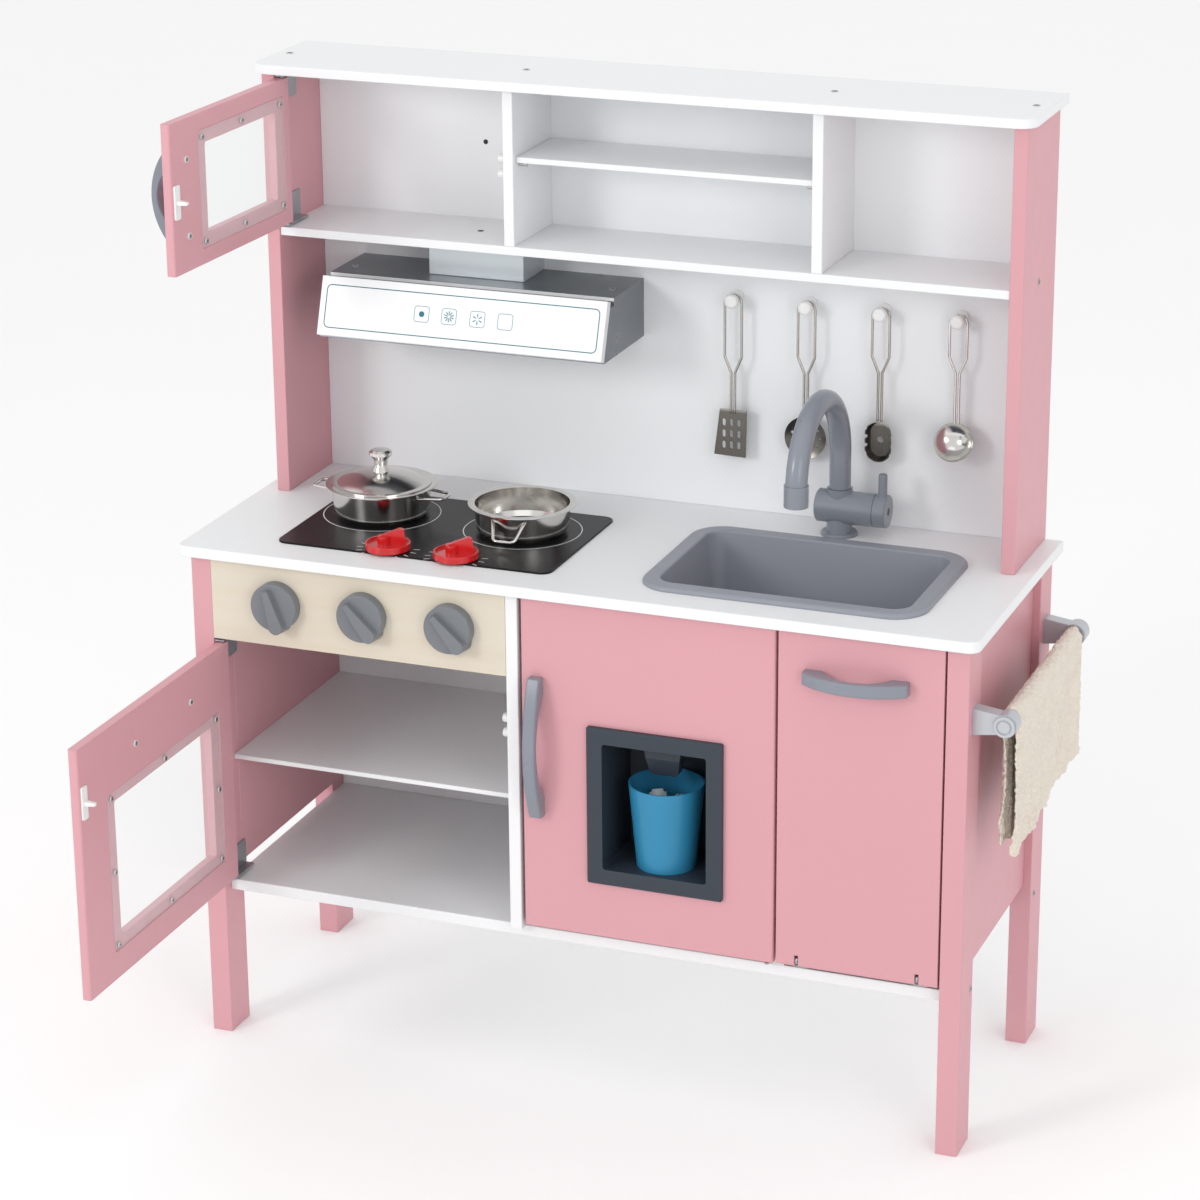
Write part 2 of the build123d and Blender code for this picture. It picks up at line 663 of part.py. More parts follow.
def burner_knob(place, turn):
    """A red dished dial with a hub and a rising fin, turning on the hob's front edge."""
    face = Plane(origin=(place[0], place[1], HOB_TOP + 0.4)).rotated((0, 0, turn))
    with BuildPart() as knob:
        with BuildSketch(face):
            Circle(DIAL_R)
        extrude(amount=7)
        with BuildSketch(face.offset(7)):
            Circle(DIAL_R - 2.2)
        extrude(amount=-2.5, mode=Mode.SUBTRACT)
        fillet(knob.edges().filter_by(GeomType.CIRCLE), 0.7)
        with BuildSketch(face):
            with Locations((-4, 0)):
                Circle(6.5)
        extrude(amount=13.5)
        blade = Plane(origin=face.from_local_coords(Vector(0, 2.6, 0)), x_dir=face.x_dir, z_dir=-face.y_dir)
        with BuildSketch(blade):
            with BuildLine():
                Polyline((-9, 2), (-9, 13.5), (13, 21), (16.5, 19.5), (19, 2), (-9, 2))
            make_face()
        extrude(amount=5.2)
        with BuildSketch(face):
            Circle(SHAFT_R)
        extrude(amount=-(WORKTOP_T + HOB_T + 2))
    return knob


# ---- Hob, pots and sink


def hob_panel():
    """The black hob plate, with a hole for each burner knob's shaft."""
    with BuildPart() as hob:
        with BuildSketch(Plane.XY.offset(WORKTOP_TOP)):
            with Locations((middle(HOB_X), middle(HOB_Y))):
                RectangleRounded(length(HOB_X), length(HOB_Y), 12)
            with Locations(*BURNER_KNOBS):
                Circle(SHAFT_R + PIN_CLEARANCE, mode=Mode.SUBTRACT)
        extrude(amount=HOB_T)
        chamfer(hob.faces().sort_by(Axis.Z)[-1].outer_wire().edges(), 0.5)
    return hob


WIRE_R = 1.6


def wire_grip(place, radius, height, angle, droop):
    """A bent wire loop that is welded to a pan's wall and slopes down by an angle."""
    out = Vector(cos(radians(angle)), sin(radians(angle)), 0)
    fall = radians(droop)
    along = out * cos(fall) - Vector(0, 0, sin(fall))
    root = sqrt(radius**2 - GRIP_HALF**2) - 1
    origin = Vector(place[0], place[1], HOB_TOP + STOOD + height) + out * root
    grip = Plane(origin=origin, x_dir=along, z_dir=out * sin(fall) + Vector(0, 0, cos(fall)))
    reach, narrow = radius + GRIP_REACH - root, GRIP_HALF - 6
    with BuildPart() as loop:
        with BuildLine(grip) as path:
            FilletPolyline((0, GRIP_HALF), (reach, narrow), (reach, -narrow), (0, -GRIP_HALF), radius=6)
        with BuildSketch(Plane(origin=path.line @ 0, z_dir=path.line % 0)):
            Circle(WIRE_R)
        sweep()
    return loop.part


def pan(place, radius, height, grip_angles, grip_drop, grip_droop):
    """A thin-walled round pan with a flared rim and its welded wire grips, as one piece."""
    profile = Plane(origin=(place[0], place[1], HOB_TOP + STOOD), x_dir=(1, 0, 0), z_dir=(0, -1, 0))
    base, inside, rim = radius - 6, radius - SHEET_T, radius + RIM_FLARE
    drop = height - grip_drop
    grips = [wire_grip(place, radius, drop, angle, grip_droop) for angle in grip_angles]
    with BuildPart() as vessel:
        with BuildSketch(profile):
            with BuildLine():
                Polyline((0, 0), (base, 0), (radius - 2, 5), (radius, height - 3.5))
                Line((radius, height - 3.5), (rim, height - 1))
                Polyline((rim, height - 1), (rim, height), (0, height), (0, 0))
            make_face()
        revolve(axis=Axis((place[0], place[1], 0), (0, 0, 1)))
        add(grips)
        with BuildSketch(profile):
            with BuildLine():
                Polyline((0, SHEET_T), (base - SHEET_T, SHEET_T), (inside - 2, 6))
                Polyline((inside - 2, 6), (inside, height), (0, height))
                Line((0, height), (0, SHEET_T))
            make_face()
        revolve(axis=Axis((place[0], place[1], 0), (0, 0, 1)), mode=Mode.SUBTRACT)
    return vessel


def pot_lid():
    """A domed lid with a waisted knob, resting on the pot's rim."""
    place, crown, edge = BURNERS[0], 13.0, POT_R
    rest = HOB_TOP + POT_HEIGHT + 3 * STOOD
    profile = Plane(origin=(place[0], place[1], rest), x_dir=(1, 0, 0), z_dir=(0, -1, 0))
    dome = edge - 4
    rim_mid = cap_height(0.7 * dome, dome, crown)
    with BuildPart() as lid:
        with BuildSketch(profile):
            with BuildLine():
                Line((0, 0), (0, crown))
                ThreePointArc((0, crown), (0.7 * dome, rim_mid), (dome, 0))
                Line((dome, 0), (0, 0))
            make_face()
            with Locations((edge / 2, 0.6)):
                Rectangle(edge, 1.2)
            with BuildLine():
                Polyline((0, crown - 1), (9.5, crown - 1), (6.5, crown + 6), (7.5, crown + 12))
                Polyline((7.5, crown + 12), (12, crown + 17), (11.8, crown + 20), (9, crown + 22))
                Polyline((9, crown + 22), (0, crown + 22.6), (0, crown - 1))
            make_face()
        revolve(axis=Axis((place[0], place[1], 0), (0, 0, 1)))
        with BuildSketch(profile):
            with BuildLine():
                Line((0, 0), (0, crown - SHEET_T))
                under_mid = cap_height(0.7 * (dome - 2), dome - 2, crown - SHEET_T)
                ThreePointArc((0, crown - SHEET_T), (0.7 * (dome - 2), under_mid), (dome - 2, 0))
                Line((dome - 2, 0), (0, 0))
            make_face()
        revolve(axis=Axis((place[0], place[1], 0), (0, 0, 1)), mode=Mode.SUBTRACT)
    return lid


def sink_basin():
    """A drop-in basin: a rounded rim on the worktop and tapering walls below it."""
    centre = (middle(SINK_X), middle(SINK_Y))
    mouth_x, mouth_y = length(SINK_X) - 2 * SINK_RIM, length(SINK_Y) - 2 * SINK_RIM
    mouth_corner = SINK_CORNER - SINK_RIM
    rim_top = WORKTOP_TOP + RIM_T
    with BuildPart() as basin:
        with BuildSketch(Plane.XY.offset(WORKTOP_TOP)):
            with Locations(centre):
                RectangleRounded(length(SINK_X), length(SINK_Y), SINK_CORNER)
        extrude(amount=RIM_T)
        fillet(basin.faces().sort_by(Axis.Z)[-1].edges(), RIM_T - 0.6)
        with BuildSketch(Plane.XY.offset(WORKTOP_TOP)):
            with Locations(centre):
                RectangleRounded(mouth_x, mouth_y, mouth_corner)
        extrude(amount=-SINK_DEPTH, taper=7)
        with BuildSketch(Plane.XY.offset(rim_top)):
            with Locations(centre):
                wall = 2 * SINK_WALL
                RectangleRounded(mouth_x - wall, mouth_y - wall, mouth_corner - SINK_WALL)
        extrude(amount=-(SINK_DEPTH + RIM_T - SINK_WALL), taper=7, mode=Mode.SUBTRACT)
        fillet(basin.faces().sort_by(Axis.Z)[-1].inner_wires()[0].edges(), 2)
    return basin


# ---- Tap


def tap_body():
    """The tap's flange, neck and level body."""
    with BuildPart() as tap:
        with BuildSketch(Plane.XY.offset(WORKTOP_TOP)):
            with Locations(TAP):
                Circle(19)
        extrude(amount=3.5)
        chamfer(tap.faces().sort_by(Axis.Z)[-1].edges(), 1.5)
        with BuildSketch(Plane.XY.offset(WORKTOP_TOP)):
            with Locations(TAP):
                Circle(13)
        extrude(amount=TAP_BODY_Z - WORKTOP_TOP)
        with BuildSketch(Plane(origin=(TAP[0] - 23, TAP[1], TAP_BODY_Z), z_dir=(1, 0, 0))):
            Circle(TAP_BODY_R)
        extrude(amount=61)
        chamfer(tap.faces().sort_by(Axis.X)[0].edges(), 1.5)
        with BuildSketch(Plane.XY.offset(TAP_BODY_Z)):
            with Locations(TAP):
                Circle(13)
        extrude(amount=TAP_BODY_R + 3)
        with BuildSketch(Plane.XY.offset(TAP_BODY_Z + 2)):
            with Locations(TAP):
                Circle(7 + PIN_CLEARANCE)
        extrude(amount=TAP_BODY_R + 2, mode=Mode.SUBTRACT)
        with BuildSketch(Plane(origin=(TAP[0] + 39, TAP[1], TAP_BODY_Z), z_dir=(1, 0, 0))):
            Circle(5 + PIN_CLEARANCE)
        extrude(amount=-14, mode=Mode.SUBTRACT)
    return tap


def tap_spout():
    """The swivelling spout: a spigot, an upright, a half-round arch and a nozzle."""
    collar_z = TAP_BODY_Z + TAP_BODY_R + 3.3
    side = Plane(origin=(TAP[0], TAP[1], 0), x_dir=(0, -1, 0), z_dir=(-1, 0, 0))
    with BuildPart() as spout:
        with BuildLine(side) as path:
            Line((0, collar_z), (0, ARCH_Z))
            ThreePointArc((0, ARCH_Z), (ARCH_R, ARCH_Z + ARCH_R), (2 * ARCH_R, ARCH_Z))
            Line((2 * ARCH_R, ARCH_Z), (2 * ARCH_R, NOZZLE_Z + 6))
        with BuildSketch(Plane.XY.offset(collar_z)):
            with Locations(TAP):
                Circle(TUBE_R)
        sweep(path=path.line)
        with BuildSketch(Plane.XY.offset(NOZZLE_Z)):
            with Locations((TAP[0], TAP[1] - 2 * ARCH_R)):
                Circle(TUBE_R + 1.2)
        extrude(amount=22)
        with BuildSketch(Plane.XY.offset(NOZZLE_Z)):
            with Locations((TAP[0], TAP[1] - 2 * ARCH_R)):
                Circle(TUBE_R - 2)
        extrude(amount=16, mode=Mode.SUBTRACT)
        with BuildSketch(Plane.XY.offset(collar_z)):
            with Locations(TAP):
                Circle(7)
        extrude(amount=-18)
    return spout


def tap_lever():
    """The turning cap at the end of the tap's body, with its pin lever and spigot."""
    cap = Plane(origin=(TAP[0] + 38.4, TAP[1], TAP_BODY_Z), z_dir=(1, 0, 0))
    with BuildPart() as lever:
        with BuildSketch(cap):
            Circle(TAP_BODY_R)
        extrude(amount=13)
        chamfer(lever.faces().sort_by(Axis.X)[-1].edges(), 1)
        with BuildSketch(cap.offset(10)):
            Circle(4)
        extrude(amount=3, mode=Mode.SUBTRACT)
        with BuildSketch(cap):
            Circle(5)
        extrude(amount=-12)
        with BuildSketch(Plane.XY.offset(TAP_BODY_Z + TAP_BODY_R - 3)):
            with Locations((TAP[0] + 45, TAP[1])):
                Circle(4.6)
        extrude(amount=25)
        chamfer(lever.faces().sort_by(Axis.Z)[-1].edges(), 0.8)
    return lever


# ---- Pegs and utensils

PEG_R = 3.5
PEG_HEAD_R = 7.5
TOOL_Y = 289.0
LOOP_R = 9.0
LOOP_WIRE = 1.4
TOOL_TOP = PEG_Z + PEG_R + 0.3 + LOOP_WIRE


def utensil_pegs():
    """Four mushroom-headed pegs on the back panel, each with a round foot."""
    places = [(x, PEG_Z) for x in PEG_X]
    with BuildPart() as pegs:
        with BuildSketch(Plane.XZ.offset(-BACK_FRONT)):
            with Locations(*places):
                Circle(2 * PEG_R)
        extrude(amount=2)
        with BuildSketch(Plane.XZ.offset(-BACK_FRONT)):
            with Locations(*places):
                Circle(PEG_R)
        extrude(amount=20)
        with BuildSketch(Plane.XZ.offset(-BACK_FRONT + 18)):
            with Locations(*places):
                Circle(PEG_HEAD_R)
        extrude(amount=6)
        fillet(pegs.faces().group_by(Axis.Y)[0].edges(), 3.5)
    return pegs


def tool_plane(x):
    """Upright plane through one utensil: x runs right, y runs up, origin at the loop's top."""
    return Plane(origin=(x, TOOL_Y, TOOL_TOP), x_dir=(1, 0, 0), z_dir=(0, -1, 0))


def wire_handle(x, neck, tail):
    """The bent wire of a utensil: a hanging loop that narrows to a pair of shanks."""
    gap = LOOP_WIRE + 0.6
    with BuildPart() as shank:
        with BuildLine(tool_plane(x)) as path:
            Line((-gap, -tail), (-gap, -neck))
            Line((-gap, -neck), (-LOOP_R, -neck + 17))
            Line((-LOOP_R, -neck + 17), (-LOOP_R, -LOOP_R))
            ThreePointArc((-LOOP_R, -LOOP_R), (0, 0), (LOOP_R, -LOOP_R))
            Line((LOOP_R, -LOOP_R), (LOOP_R, -neck + 17))
            Line((LOOP_R, -neck + 17), (gap, -neck))
            Line((gap, -neck), (gap, -tail))
        with BuildSketch(Plane(origin=path.line @ 0, z_dir=path.line % 0)):
            Circle(LOOP_WIRE)
        sweep(transition=Transition.ROUND)
    return shank.part


def slotted_turner(x):
    """A skewed, tapering blade with nine slots."""
    handle = wire_handle(x, 82, 125)
    with BuildPart() as tool:
        add(handle)
        with BuildSketch(tool_plane(x).offset(-1)):
            with BuildLine():
                Polyline((-14, -121), (15, -121), (14, -171), (-20, -170), (-14, -121))
            make_face()
            with Locations((-1.5, -147)):
                with GridLocations(8, 12, 3, 3):
                    SlotOverall(8, 3.6, rotation=90, mode=Mode.SUBTRACT)
        extrude(amount=1.6)
    return tool


def dish(x, drop, radius, depth, tilt):
    """A shallow round bowl of sheet metal, opening forwards, with its mouth tipped up by tilt."""
    mid = (0.6 * radius, -cap_height(0.6 * radius, radius, depth))
    seat = tool_plane(x).from_local_coords(Vector(0, -drop, radius * sin(radians(tilt))))
    mouth = Vector(0, -cos(radians(tilt)), sin(radians(tilt)))
    with BuildPart() as bowl:
        with BuildSketch(Plane(origin=seat, x_dir=(1, 0, 0), z_dir=Vector(1, 0, 0).cross(mouth))):
            with BuildLine():
                ThreePointArc((radius, 0), mid, (0, -depth))
                Line((0, -depth), (0, -depth + SHEET_T))
                ThreePointArc((0, -depth + SHEET_T), (mid[0], mid[1] + SHEET_T), (radius, SHEET_T))
                Line((radius, SHEET_T), (radius, 0))
            make_face()
        revolve(axis=Axis(seat, mouth))
    return bowl.part


def skimmer(x):
    """A round, slightly dished disc pierced by rings of holes."""
    drop = TOOL_TOP - 634.0
    handle = wire_handle(x, 75, drop - 20)
    disc = dish(x, drop, 22, 4, 0)
    with BuildPart() as tool:
        add(disc)
        with BuildSketch(tool_plane(x).offset(20)):
            with Locations((0, -drop)):
                Circle(1.5)
                with PolarLocations(8, 6):
                    Circle(1.5)
                with PolarLocations(15, 11):
                    Circle(1.5)
        extrude(amount=-40, mode=Mode.SUBTRACT)
        add(handle)
    return tool


def pasta_server(x):
    """A long dish with a scalloped edge and a hole in the middle."""
    drop, lift = TOOL_TOP - 639.0, 4.0
    face = tool_plane(x).offset(lift)
    handle = wire_handle(x, 67, drop - 19)
    with BuildPart() as tool:
        with BuildSketch(face):
            with Locations((0, -drop)):
                SlotOverall(43, 28, rotation=90)
        extrude(amount=-9, taper=20)
        with BuildSketch(face):
            with Locations((0, -drop)):
                SlotOverall(40.6, 25.6, rotation=90)
        extrude(amount=-7.6, taper=20, mode=Mode.SUBTRACT)
        with BuildSketch(face):
            with Locations((0, -drop)):
                Circle(3.4)
                with GridLocations(28, 9, 2, 4):
                    Circle(2.2)
        extrude(amount=-9, mode=Mode.SUBTRACT)
        add(handle)
    return tool


def ladle(x):
    """A deep round bowl that tips its mouth up."""
    drop = TOOL_TOP - 648.0
    handle = wire_handle(x, 60, drop - 17.5)
    bowl = dish(x, drop, 20, 11, 25)
    with BuildPart() as tool:
        add([bowl, handle])
    return tool


# ---- Hood


def hood_body():
    """The hood's dark case: a lipped top, a leaning front and an open underside."""
    lean = (HOOD_FACE_TOP[0] - HOOD_FACE_BOTTOM[0]) / (HOOD_FACE_TOP[1] - HOOD_FACE_BOTTOM[1])
    back_y = HOOD_FACE_TOP[0] + HOOD_FACE_T * 1.06
    notch_z = HOOD_TOP - 8
    notch_y = back_y - (HOOD_FACE_TOP[1] - notch_z) * lean
    toe_y = back_y - (HOOD_FACE_TOP[1] - HOOD_BOTTOM) * lean
    section = Plane(origin=(HOOD_X[0], 0, 0), x_dir=(0, 1, 0), z_dir=(1, 0, 0))
    ceiling = HOOD_TOP - 8
    with BuildPart() as hood:
        with BuildSketch(section):
            with BuildLine():
                Polyline((BACK_FRONT, HOOD_BOTTOM), (BACK_FRONT, HOOD_TOP), (HOOD_LIP_Y, HOOD_TOP))
                Polyline((HOOD_LIP_Y, HOOD_TOP), (HOOD_LIP_Y, notch_z), (notch_y, notch_z))
                Polyline((notch_y, notch_z), (toe_y, HOOD_BOTTOM), (BACK_FRONT, HOOD_BOTTOM))
            make_face()
        extrude(amount=length(HOOD_X))
        with BuildSketch(section.offset(HOOD_WALL)):
            with BuildLine():
                Polyline((BACK_FRONT - HOOD_WALL, HOOD_BOTTOM), (BACK_FRONT - HOOD_WALL, ceiling))
                Polyline((BACK_FRONT - HOOD_WALL, ceiling), (notch_y + 8, ceiling))
                Line((notch_y + 8, ceiling), (toe_y + 8, HOOD_BOTTOM))
                Line((toe_y + 8, HOOD_BOTTOM), (BACK_FRONT - HOOD_WALL, HOOD_BOTTOM))
            make_face()
        extrude(amount=length(HOOD_X) - 2 * HOOD_WALL, mode=Mode.SUBTRACT)
    return hood


def hood_front():
    """The hood's leaning white front board."""
    bottom = Vector(HOOD_X[0], *HOOD_FACE_BOTTOM)
    rise = Vector(HOOD_X[0], *HOOD_FACE_TOP) - bottom
    face = Plane(origin=bottom, x_dir=(1, 0, 0), z_dir=Vector(1, 0, 0).cross(rise))
    with BuildPart() as front:
        with BuildSketch(face):
            with Locations((length(HOOD_X) / 2, rise.length / 2)):
                Rectangle(length(HOOD_X), rise.length)
        extrude(amount=-HOOD_FACE_T)
        fillet(front.edges(), EDGE)
    return front


# ---- Towel rail and towel


def towel_brackets():
    """Two arms on the right-hand legs that hold the rail in rounded ends."""
    with BuildPart() as brackets:
        for y in RAIL_ENDS:
            with BuildSketch(Plane.XZ.offset(-y)):
                with BuildLine():
                    Polyline((BODY_WIDTH / 2, RAIL_Z + ARM_ROOT), (RAIL_X, RAIL_Z + ARM_TIP))
                    Polyline((RAIL_X, RAIL_Z + ARM_TIP), (RAIL_X, RAIL_Z - ARM_TIP))
                    Line((RAIL_X, RAIL_Z - ARM_TIP), (BODY_WIDTH / 2, RAIL_Z - ARM_ROOT))
                    Line((BODY_WIDTH / 2, RAIL_Z - ARM_ROOT), (BODY_WIDTH / 2, RAIL_Z + ARM_ROOT))
                make_face()
            extrude(amount=7.5, both=True)
            with BuildSketch(Plane.XZ.offset(-y)):
                with Locations((RAIL_X, RAIL_Z)):
                    Circle(11.5)
            extrude(amount=9, both=True)
            with BuildSketch(Plane.XZ.offset(-y)):
                with Locations((RAIL_X, RAIL_Z)):
                    Circle(RAIL_R + RAIL_FIT)
            extrude(amount=9, both=True, mode=Mode.SUBTRACT)
    return brackets


def towel_rail():
    """The tube between the brackets, with a closed cap at each end."""
    ends = (RAIL_ENDS[0] - 12, RAIL_ENDS[1] + 12)
    with BuildPart() as rail:
        with BuildSketch(Plane.XZ.offset(-ends[0])):
            with Locations((RAIL_X, RAIL_Z)):
                Circle(RAIL_R)
        extrude(amount=-length(ends))
        for y, direction in ((RAIL_ENDS[0] - 9, 1), (RAIL_ENDS[1] + 9, -1)):
            with BuildSketch(Plane.XZ.offset(-y)):
                with Locations((RAIL_X, RAIL_Z)):
                    Circle(10.5)
            extrude(amount=direction * 3)
            with BuildSketch(Plane.XZ.offset(-y + direction * 3)):
                with Locations((RAIL_X, RAIL_Z)):
                    Circle(7.5)
                    Circle(RAIL_R, mode=Mode.SUBTRACT)
            extrude(amount=-direction, mode=Mode.SUBTRACT)
    return rail


TOWEL_T = 3.5
TOWEL_GAP = 0.3
TOWEL_Y = (50.0, 286.0)
TOWEL_FLARE = 11.0


def towel():
    """A towel over the rail, as a plain folded slab that spreads a little as it hangs."""
    inner, outer = RAIL_R + TOWEL_GAP, RAIL_R + TOWEL_GAP + TOWEL_T
    left, right, low = RAIL_X - inner, RAIL_X + inner, 307.0
    with BuildPart() as cloth:
        with BuildSketch(Plane.XZ.offset(-TOWEL_Y[0])):
            with BuildLine():
                ThreePointArc((left, RAIL_Z), (RAIL_X, RAIL_Z + inner), (right, RAIL_Z))
                Polyline((right, RAIL_Z), (right + TOWEL_FLARE, low), (right + TOWEL_T + TOWEL_FLARE, low))
                Line((right + TOWEL_T + TOWEL_FLARE, low), (right + TOWEL_T, RAIL_Z))
                crest = (RAIL_X, RAIL_Z + outer)
                ThreePointArc((right + TOWEL_T, RAIL_Z), crest, (left - TOWEL_T, RAIL_Z))
                Polyline((left - TOWEL_T, RAIL_Z), (left - TOWEL_T, low + 25), (left, low + 25))
                Line((left, low + 25), (left, RAIL_Z))
            make_face()
        extrude(amount=-length(TOWEL_Y))
        with BuildSketch(Plane(origin=(RAIL_X, 0, 0), x_dir=(0, 1, 0), z_dir=(1, 0, 0))):
            with BuildLine():
                Polyline((TOWEL_Y[0], 420), (92, low), (TOWEL_Y[0], low), (TOWEL_Y[0], 420))
            make_face()
            with BuildLine():
                Polyline((92, low), (TOWEL_Y[1], low + 25), (TOWEL_Y[1], low), (92, low))
            make_face()
        extrude(amount=40, mode=Mode.SUBTRACT)
    return cloth


# ---- Every piece, by name

UNDER_FLOOR = (FLOOR_FRONT, DEPTH - 10)
SHELF_SPAN = (UPPER_DIVIDERS_X[0] + UPPER_DIVIDER_T + 0.5, UPPER_DIVIDERS_X[1] - 0.5)


def fridge_divider():
    """The hidden wall between fridge and storage, cut away under the sink."""
    with BuildPart() as divider:
        section = Plane(origin=(FRIDGE_DIVIDER_X, 0, 0), x_dir=(0, 1, 0), z_dir=(1, 0, 0))
        sink_bottom = WORKTOP_TOP - SINK_DEPTH - 8
        with BuildSketch(section):
            with BuildLine():
                Polyline((FLOOR_FRONT, FLOOR_TOP), (FLOOR_FRONT, UNDER_TOP), (44, UNDER_TOP))
                Polyline((44, UNDER_TOP), (44, sink_bottom), (228, sink_bottom), (228, UNDER_TOP))
                Polyline((228, UNDER_TOP), (BACK_FRONT, UNDER_TOP), (BACK_FRONT, FLOOR_TOP))
                Line((BACK_FRONT, FLOOR_TOP), (FLOOR_FRONT, FLOOR_TOP))
            make_face()
        extrude(amount=DIVIDER_T)
    return divider


def all_pieces():
    """Every piece of the kitchen by name, in the kitchen's own frame."""
    lower_bay = (-BAY_HALF, BAY_HALF)
    back_y = (BACK_FRONT, BACK_FRONT + BACK_T)
    oven_height = OVEN_DOOR_TOP - DOOR_BOTTOM
    micro_height = MICRO_DOOR_TOP - MICRO_DOOR_BOTTOM
    oven_screws = window_screws(OVEN_WINDOW, OVEN_LAP, True)
    micro_screws = window_screws(MICRO_WINDOW, MICRO_LAP, False)
    oven_handle_screws = [(OVEN_HANDLE[0] + step, OVEN_HANDLE[1]) for step in (-58.5, 58.5)]
    micro_handle_screws = [(MICRO_HANDLE[0], MICRO_HANDLE[1] + step) for step in (-38, 38)]
    drop_face = Plane(origin=(0, LEG_FRONT, 0), x_dir=(1, 0, 0), z_dir=(0, -1, 0))
    shelf_z = (CENTRE_SHELF_TOP - CENTRE_SHELF_T, CENTRE_SHELF_TOP)
    shelf_low = (OVEN_SHELF_TOP - OVEN_SHELF_T, OVEN_SHELF_TOP)
    return {
        "front_legs": leg_pair(LEG_FRONT),
        "rear_legs": leg_pair(DEPTH - LEG_DEPTH),
        "left_side_panel": side_panel(-1),
        "right_side_panel": side_panel(1),
        "bottom_board": board(lower_bay, UNDER_FLOOR, (FLOOR_Z, FLOOR_TOP)),
        "lower_back_panel": board(lower_bay, back_y, (FLOOR_TOP, UNDER_TOP)),
        "oven_divider": board(
            (OVEN_DIVIDER_X, OVEN_DIVIDER_X + DIVIDER_T), (LEG_FRONT, BACK_FRONT), (FLOOR_TOP, UNDER_TOP)
        ),
        "fridge_divider": fridge_divider(),
        "control_panel": control_panel(),
        "oven_shelf": board((-BAY_HALF, OVEN_DIVIDER_X), (OVEN_SHELF_FRONT, BACK_FRONT), shelf_low),
        "worktop": worktop(),
        "left_upper_side": upper_side(-1),
        "right_upper_side": upper_side(1),
        "upper_back_panel": board(lower_bay, back_y, (WORKTOP_TOP, UPPER_CEILING)),
        "top_board": top_board(),
        "upper_shelf": board(lower_bay, (UPPER_FRONT + 2, BACK_FRONT), (UPPER_SHELF_Z, UPPER_SHELF_TOP)),
        "upper_dividers": upper_dividers(),
        "centre_shelf": board(SHELF_SPAN, (UPPER_FRONT + 9, BACK_FRONT - 3), shelf_z),
        "hood_body": hood_body(),
        "hood_front": hood_front(),
        "hood_chimney": board(CHIMNEY_X, (CHIMNEY_FRONT, BACK_FRONT), (HOOD_TOP, UPPER_SHELF_Z)),
        "hob_panel": hob_panel(),
        "sink_basin": sink_basin(),
        "tap_body": tap_body(),
        "utensil_pegs": utensil_pegs(),
        "pivot_hinges": pivot_hinges(),
        "roller_catches": roller_catches(),
        "cabinet_fasteners": cabinet_fasteners(),
        "towel_brackets": towel_brackets(),
        "towel_rail": towel_rail(),
        "towel": towel(),
        "oven_door_panel": windowed_door(
            OVEN_FACE, OVEN_DOOR_WIDTH, oven_height, OVEN_WINDOW, OVEN_LAP
        ),
        "oven_door_window": glazing(OVEN_FACE, OVEN_WINDOW, OVEN_LAP),
        "oven_door_handle": bow_handle(OVEN_FACE, OVEN_HANDLE, 135, 20, False),
        "oven_door_fittings": door_fittings(
            OVEN_FACE, oven_screws, oven_handle_screws, OVEN_STRIKE
        ),
        "microwave_door_panel": windowed_door(
            MICRO_FACE, MICRO_DOOR_WIDTH, micro_height, MICRO_WINDOW, MICRO_LAP
        ),
        "microwave_door_window": glazing(MICRO_FACE, MICRO_WINDOW, MICRO_LAP),
        "microwave_door_handle": bow_handle(MICRO_FACE, MICRO_HANDLE, 91, 15, True),
        "microwave_door_fittings": door_fittings(
            MICRO_FACE, micro_screws, micro_handle_screws, MICRO_STRIKE
        ),
        "fridge_door_panel": fridge_door(),
        "fridge_door_handle": bow_handle(FRIDGE_FACE, (-242, 197), 147, 20, True),
        "dispenser_housing": dispenser_housing(),
        "dispenser_paddle": dispenser_paddle(),
        "cup": cup(),
        "drop_door_panel": drop_door(),
        "drop_door_handle": bow_handle(drop_face, (298, 487), 104, 18, False),
        "left_knob": pointer_knob(KNOB_X[0], KNOB_TURNS[0]),
        "middle_knob": pointer_knob(KNOB_X[1], KNOB_TURNS[1]),
        "right_knob": pointer_knob(KNOB_X[2], KNOB_TURNS[2]),
        "left_burner_knob": burner_knob(BURNER_KNOBS[0], 25),
        "right_burner_knob": burner_knob(BURNER_KNOBS[1], 25),
        "tap_spout": tap_spout(),
        "tap_lever": tap_lever(),
        "slotted_turner": slotted_turner(PEG_X[0]),
        "skimmer": skimmer(PEG_X[1]),
        "pasta_server": pasta_server(PEG_X[2]),
        "ladle": ladle(PEG_X[3]),
        "pot": pan(BURNERS[0], POT_R, POT_HEIGHT, (0, 180), 8, 0),
        "pot_lid": pot_lid(),
        "pan": pan(BURNERS[1], PAN_R, PAN_HEIGHT, (-85,), 6, 40),
    }


os.makedirs("parts", exist_ok=True)
for name, piece in all_pieces().items():
    piece.part.locate(KITCHEN)
    piece.part.label = name
    export_step(piece.part, f"parts/{name}.step")
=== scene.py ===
"""Looks for the toy kitchen: materials, printed details, screws, ice, towel, floor, lights, camera."""
import math
import random

import bmesh
import bpy
from mathutils import Matrix, Vector


